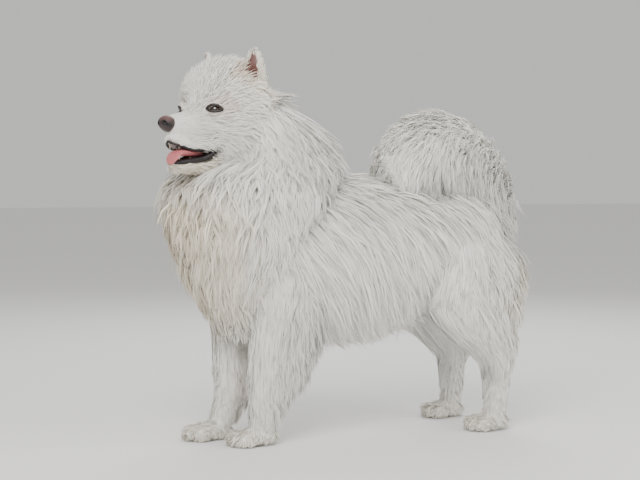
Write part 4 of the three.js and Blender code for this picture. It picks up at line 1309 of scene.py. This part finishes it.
def ring_tube(points, facing, radius, sides=10):
    """A closed tube along a closed line."""
    ahead = unit(np.roll(points, -1, 0) - np.roll(points, 1, 0))
    out = unit(np.cross(ahead, facing))
    a = (np.arange(sides) * 2 * math.pi / sides)[None, :, None]
    rings = points[:, None] + radius * (np.cos(a) * out[:, None] + np.sin(a) * facing)
    n = len(points)
    faces = []
    for i in range(n):
        for j in range(sides):
            k, m = (i + 1) % n, (j + 1) % sides
            faces.append((i * sides + j, i * sides + m, k * sides + m, k * sides + j))
    return rings.reshape(-1, 3), faces


def build_eyes(settings):
    ball = material("Eye", roughness=0.06, tint=True, Coat_Weight=1.0, Coat_Roughness=0.02)
    dark = material("Dark rim", EYE_RIM, 0.4)
    for label, side in (("left", 1), ("right", -1)):
        centre, facing = eye_centre(side), gaze(side)
        points, faces = ellipsoid(centre, (EYE_RADIUS,) * 3, 36, 24)
        toward = unit(points - centre) @ facing
        colour = mix(np.tile(EYE_WHITE, (len(points), 1)), settings.iris_colour, ramp(toward, 0.2, 0.3))
        colour = mix(colour, PUPIL, ramp(toward, 0.9, 0.93))
        eye = new_object(f"eye_{label}_ball", points, faces, ball, colours=colour)
        placed(eye, [f"eye_{label}"])
        line, way = almond(side, RIM_REACH, RIM_RISE, EYE_RADIUS + RIM_AHEAD)
        placed(new_object(f"eye_{label}_rim", *ring_tube(line, way, RIM_RADIUS), dark))


def build_nose(settings):
    x, back, rise = NOSE_MIDDLE
    centre = np.array([x, NOSE_Y + back, MUZZLE_Z + rise])
    half_height = NOSE_RADII[2]
    points, faces = ellipsoid((0, 0, 0), NOSE_RADII, 48, 30)
    points[:, 0] *= 1 + NOSE_WIDENING * np.clip(points[:, 2] / half_height, -1, 0.6)
    points[:, 1] += NOSE_SLOPE * np.clip(-points[:, 2], 0, half_height)
    pad = (points + centre, faces)
    holes = []
    for side in (-1, 1):
        path = np.array(NOSTRIL_PATH) * (side, 1, 1) + centre
        holes.append(path)
        pad = cut(pad, tube(path, NOSTRIL_RADII, 12, 14))
    points, faces = cut(pad, tube(np.array(GROOVE_PATH) + centre, GROOVE_RADII, 6, 12))
    # Painted shade: the leather darkens to near black inside and round the nostrils' holes, where shade
    # falls
    dark = np.zeros(len(points))
    for path in holes:
        line = through(path, np.linspace(0, 1, 12))
        near = np.linalg.norm(points[:, None] - line, axis=2).min(1)
        dark = np.maximum(dark, ramp(near, 5.4, 4.2))
    # Painted highlight: the nose leather turns lighter pink towards its top, where light falls
    highlight_share = ramp(points[:, 2] - centre[2], 4, 15)
    colour = mix(np.tile(np.array(settings.nose_colour), (len(points), 1)), NOSE_PAINTED_HIGHLIGHT, highlight_share)
    colour = mix(colour, NOSTRIL_PAINTED_SHADE, dark)
    made = material("Nose leather", roughness=0.36, tint=True, bump=0.6, bump_scale=1600.0)
    nose = new_object("nose_leather", head_turn(points), faces, made, colours=colour)
    placed(nose, ["nose"])


def both_sides(line, radii, sides, steps, flat=1.0):
    """A tube along a line in the head on the left, and its mirror on the right."""
    return [
        tube([in_head(side * x, back, rise) for x, back, rise in line], radii, sides, steps, flat)
        for side in (-1, 1)
    ]


def build_lips():
    shells = both_sides(UPPER_LIP, UPPER_LIP_RADII, 12, 44, 1.2)
    shells += both_sides(LOWER_LIP, LOWER_LIP_RADII, 12, 44, 1.25)
    placed(new_object("lips", *joined(shells), material("Lips", LIP, 0.32, bump=0.5, bump_scale=900.0)))


def build_gums():
    shells = both_sides(UPPER_GUM, GUM_RADII, 10, 30) + both_sides(LOWER_GUM, GUM_RADII, 10, 30)
    shells += [head_ellipsoid(*lining) for lining in MOUTH_LININGS]
    placed(new_object("gums", *joined(shells), material("Gums", GUM, 0.4, bump=0.5, bump_scale=900.0)))


def build_teeth():
    shells = []
    for x, back, rise, long, radius in TEETH:
        root = np.array([x, back, rise - 0.4 * long])
        tip = np.array([x * 0.96, back + 2, rise + long])
        shells += both_sides([root, (root + tip) / 2, tip], [radius, radius * 0.72, 0.5], 8, 8)
    placed(new_object("teeth", *joined(shells), material("Tooth", TOOTH, 0.25)))


def build_tongue(settings):
    tongue = Loft(head_rows(TONGUE), BACKWARD, 2.2, ((0, 1), (0, 0)), head_turn)
    points, faces = tongue.shell(28, 40)
    x, back, rise = head_straight(points).T
    groove = (x - np.interp(back, [15, 34, 74], [13, 8, 2])) / 3
    points[:, 2] -= 1.6 * np.exp(-(groove**2)) * (rise > -58)
    pink = tuple(settings.tongue_colour)
    made = material("Tongue", pink, 0.38, bump=0.5, bump_scale=1200.0, Subsurface_Weight=0.25)
    placed(new_object("tongue_body", points, faces, made), ["tongue"])


def build_mouth(settings):
    build_lips()
    build_gums()
    build_teeth()
    build_tongue(settings)


def build_claws(settings):
    shells = []
    for paw in PAWS:
        _, tips = toes(paw)
        for tip in tips:
            shells.append(tube(tip + np.array(CLAW_PATH), CLAW_RADII, 8, 8))
    placed(new_object("claws", *joined(shells), material("Claw", tuple(settings.claw_colour), 0.35)))


def whisker_tree():
    """Curves become hairs of one radius."""
    tree = bpy.data.node_groups.new("Whiskers", "GeometryNodeTree")
    tree.interface.new_socket("Geometry", in_out="INPUT", socket_type="NodeSocketGeometry")
    tree.interface.new_socket("Radius", in_out="INPUT", socket_type="NodeSocketFloat")
    tree.interface.new_socket("Material", in_out="INPUT", socket_type="NodeSocketMaterial")
    tree.interface.new_socket("Geometry", in_out="OUTPUT", socket_type="NodeSocketGeometry")
    entry, leave = tree.nodes.new("NodeGroupInput"), tree.nodes.new("NodeGroupOutput")
    circle = tree.nodes.new("GeometryNodeCurvePrimitiveCircle")
    circle.inputs["Resolution"].default_value = 4
    sweep = tree.nodes.new("GeometryNodeCurveToMesh")
    realize = tree.nodes.new("GeometryNodeRealizeInstances")
    paint = tree.nodes.new("GeometryNodeSetMaterial")
    curve = tree.nodes.new("GeometryNodeMeshToCurve")
    link = tree.links.new
    link(entry.outputs["Geometry"], curve.inputs["Mesh"])
    link(entry.outputs["Radius"], circle.inputs["Radius"])
    link(curve.outputs["Curve"], sweep.inputs["Curve"])
    link(circle.outputs["Curve"], sweep.inputs["Profile Curve"])
    link(sweep.outputs["Mesh"], realize.inputs["Geometry"])
    link(realize.outputs["Geometry"], paint.inputs["Geometry"])
    link(entry.outputs["Material"], paint.inputs["Material"])
    link(paint.outputs["Geometry"], leave.inputs["Geometry"])
    return tree


def whisker(side, row, k, long):
    """Points along the whisker k of a row, which points out, back and a little down at its end."""
    x, back, rise = np.array(WHISKER_ROOT) + np.array(WHISKER_STEP) * (k, k, row)
    return [
        in_head(side * (x + long * 0.9 * s), back + long * 0.35 * s, rise + (8 - 4 * row) * s - 5 * s * s)
        for s in np.linspace(0, 1, WHISKER_POINTS)
    ]


def build_whiskers(settings):
    rng = np.random.default_rng(21)
    points, edges = [], []
    for side in (-1, 1):
        for row in range(WHISKER_ROWS):
            for k in range(WHISKERS_A_ROW):
                line = whisker(side, row, k, rng.uniform(*WHISKER_LENGTH))
                edges += [(len(points) + i, len(points) + i + 1) for i in range(len(line) - 1)]
                points += line
    mesh = bpy.data.meshes.new("whisker_lines")
    mesh.from_pydata([tuple(p) for p in to_frame(np.array(points))], edges, [])
    obj = bpy.data.objects.new("whisker_lines", mesh)
    bpy.context.scene.collection.objects.link(obj)
    modifier = obj.modifiers.new("Whiskers", "NODES")
    modifier.node_group = whisker_tree()
    made = material("Whisker", WHISKER, 0.4)
    inputs = {"Radius": settings.whisker_radius, "Material": made}
    for item in modifier.node_group.interface.items_tree:
        if item.in_out == "INPUT" and item.name in inputs:
            modifier[item.identifier] = inputs[item.name]
    placed(finish_object("whiskers", plain_mesh(obj, "whiskers"), made))


# Stage


def area_light(name, place, target, size, power, colour):
    data = bpy.data.lights.new(name, "AREA")
    data.shape = "DISK"
    data.size = size
    data.energy = power
    data.color = colour
    obj = bpy.data.objects.new(name, data)
    obj.location = place
    obj.rotation_euler = (Vector(target) - Vector(place)).to_track_quat("-Z", "Y").to_euler()
    bpy.context.scene.collection.objects.link(obj)


def build_stage(settings):
    mesh = bpy.data.meshes.new("floor")
    corners = [(x * FLOOR_REACH, y * FLOOR_REACH, 0) for x, y in ((-1, -1), (1, -1), (1, 1), (-1, 1))]
    mesh.from_pydata(corners, [], [(0, 1, 2, 3)])
    finish_object("floor", mesh, material("Floor", FLOOR, 0.8))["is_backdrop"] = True
    for light in LIGHTS:
        area_light(*light)
    world = bpy.data.worlds.new("Soft light")
    world.use_nodes = True
    background = world.node_tree.nodes["Background"]
    background.inputs["Color"].default_value = (*BACKGROUND, 1)
    background.inputs["Strength"].default_value = BACKGROUND_STRENGTH
    bpy.context.scene.world = world
    data = bpy.data.cameras.new("Camera")
    data.lens = CAMERA_LENS
    data.sensor_width = CAMERA_SENSOR
    data.shift_y = CAMERA_SHIFT_Y
    camera = bpy.data.objects.new("Camera", data)
    camera.location = to_frame(CAMERA_PLACE)
    camera.rotation_euler = Vector(CAMERA_WAY).to_track_quat("-Z", "Y").to_euler()
    bpy.context.scene.collection.objects.link(camera)
    bpy.context.scene.camera = camera


# Add-on


def colour_choice(name, description, default):
    """A colour that a user may change."""
    options = dict(name=name, description=description, default=default)
    return FloatVectorProperty(**options, min=0, max=1, subtype="COLOR")


class SamoyedSettings(bpy.types.PropertyGroup):
    skin_detail: FloatProperty(
        name="Skin detail",
        description="Size of the skin's faces",
        default=0.0042,
        min=0.002,
        max=0.02,
        unit="LENGTH",
    )
    coat_fullness: FloatProperty(
        name="Coat fullness",
        description="Share of the full number of tufts",
        default=1.0,
        min=0.1,
        max=1.2,
        subtype="FACTOR",
    )
    whisker_radius: FloatProperty(
        name="Whisker radius",
        description="Half the width of a whisker",
        default=0.00022,
        min=0.0001,
        max=0.002,
        unit="LENGTH",
    )
    fur_colour: colour_choice("Fur", "Colour of the white fur", WHITE)
    cream_colour: colour_choice("Cream", "Colour of the chest, chin, feet and seat", CREAM)
    iris_colour: colour_choice("Iris", "Colour of the eyes round the pupil", IRIS)
    # The nose leather's dark colour; its top is lighter pink as a painted highlight
    nose_colour: colour_choice("Nose", "Colour of the nose leather's underside", NOSE_DARK)
    tongue_colour: colour_choice("Tongue", "Colour of the tongue", TONGUE_PINK)
    claw_colour: colour_choice("Claws", "Colour of the claws", CLAW)


class SamoyedOperator:
    bl_options = {"REGISTER", "UNDO"}

    def execute(self, context):
        self.build(context.scene.samoyed)
        return {"FINISHED"}


class SAMOYED_OT_skin(SamoyedOperator, bpy.types.Operator):
    """Build the skin under the coat"""

    bl_idname = "samoyed.skin"
    bl_label = "Skin"
    build = staticmethod(build_skin)


class SAMOYED_OT_eyes(SamoyedOperator, bpy.types.Operator):
    """Build the eyes and their lids"""

    bl_idname = "samoyed.eyes"
    bl_label = "Eyes"
    build = staticmethod(build_eyes)


class SAMOYED_OT_nose(SamoyedOperator, bpy.types.Operator):
    """Build the nose leather with its nostrils"""

    bl_idname = "samoyed.nose"
    bl_label = "Nose"
    build = staticmethod(build_nose)


class SAMOYED_OT_mouth(SamoyedOperator, bpy.types.Operator):
    """Build the lips, teeth and tongue"""

    bl_idname = "samoyed.mouth"
    bl_label = "Mouth"
    build = staticmethod(build_mouth)


class SAMOYED_OT_claws(SamoyedOperator, bpy.types.Operator):
    """Build the claws"""

    bl_idname = "samoyed.claws"
    bl_label = "Claws"
    build = staticmethod(build_claws)


class SAMOYED_OT_whiskers(SamoyedOperator, bpy.types.Operator):
    """Build the whiskers"""

    bl_idname = "samoyed.whiskers"
    bl_label = "Whiskers"
    build = staticmethod(build_whiskers)


class SAMOYED_OT_coat(SamoyedOperator, bpy.types.Operator):
    """Grow the coat on the skin"""

    bl_idname = "samoyed.coat"
    bl_label = "Coat"
    build = staticmethod(build_coat)


class SAMOYED_OT_stage(SamoyedOperator, bpy.types.Operator):
    """Set up the floor, the lights and the camera"""

    bl_idname = "samoyed.stage"
    bl_label = "Stage"
    build = staticmethod(build_stage)


STEPS = (
    SAMOYED_OT_skin,
    SAMOYED_OT_eyes,
    SAMOYED_OT_nose,
    SAMOYED_OT_mouth,
    SAMOYED_OT_claws,
    SAMOYED_OT_whiskers,
    SAMOYED_OT_coat,
    SAMOYED_OT_stage,
)


class SAMOYED_PT_panel(bpy.types.Panel):
    bl_label = "Samoyed"
    bl_idname = "SAMOYED_PT_panel"
    bl_space_type = "VIEW_3D"
    bl_region_type = "UI"
    bl_category = "Samoyed"

    def draw(self, context):
        for name in SamoyedSettings.__annotations__:
            self.layout.prop(context.scene.samoyed, name)
        for step in STEPS:
            self.layout.operator(step.bl_idname)


CLASSES = (SamoyedSettings, *STEPS, SAMOYED_PT_panel)


def register():
    for cls in CLASSES:
        bpy.utils.register_class(cls)
    bpy.types.Scene.samoyed = PointerProperty(type=SamoyedSettings)


def unregister():
    del bpy.types.Scene.samoyed
    for cls in reversed(CLASSES):
        bpy.utils.unregister_class(cls)


def main():
    """Builds everything in order."""
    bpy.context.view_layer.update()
    register()
    for step in STEPS:
        group, name = step.bl_idname.split(".")
        getattr(getattr(bpy.ops, group), name)()


if __name__ == "__main__":
    main()
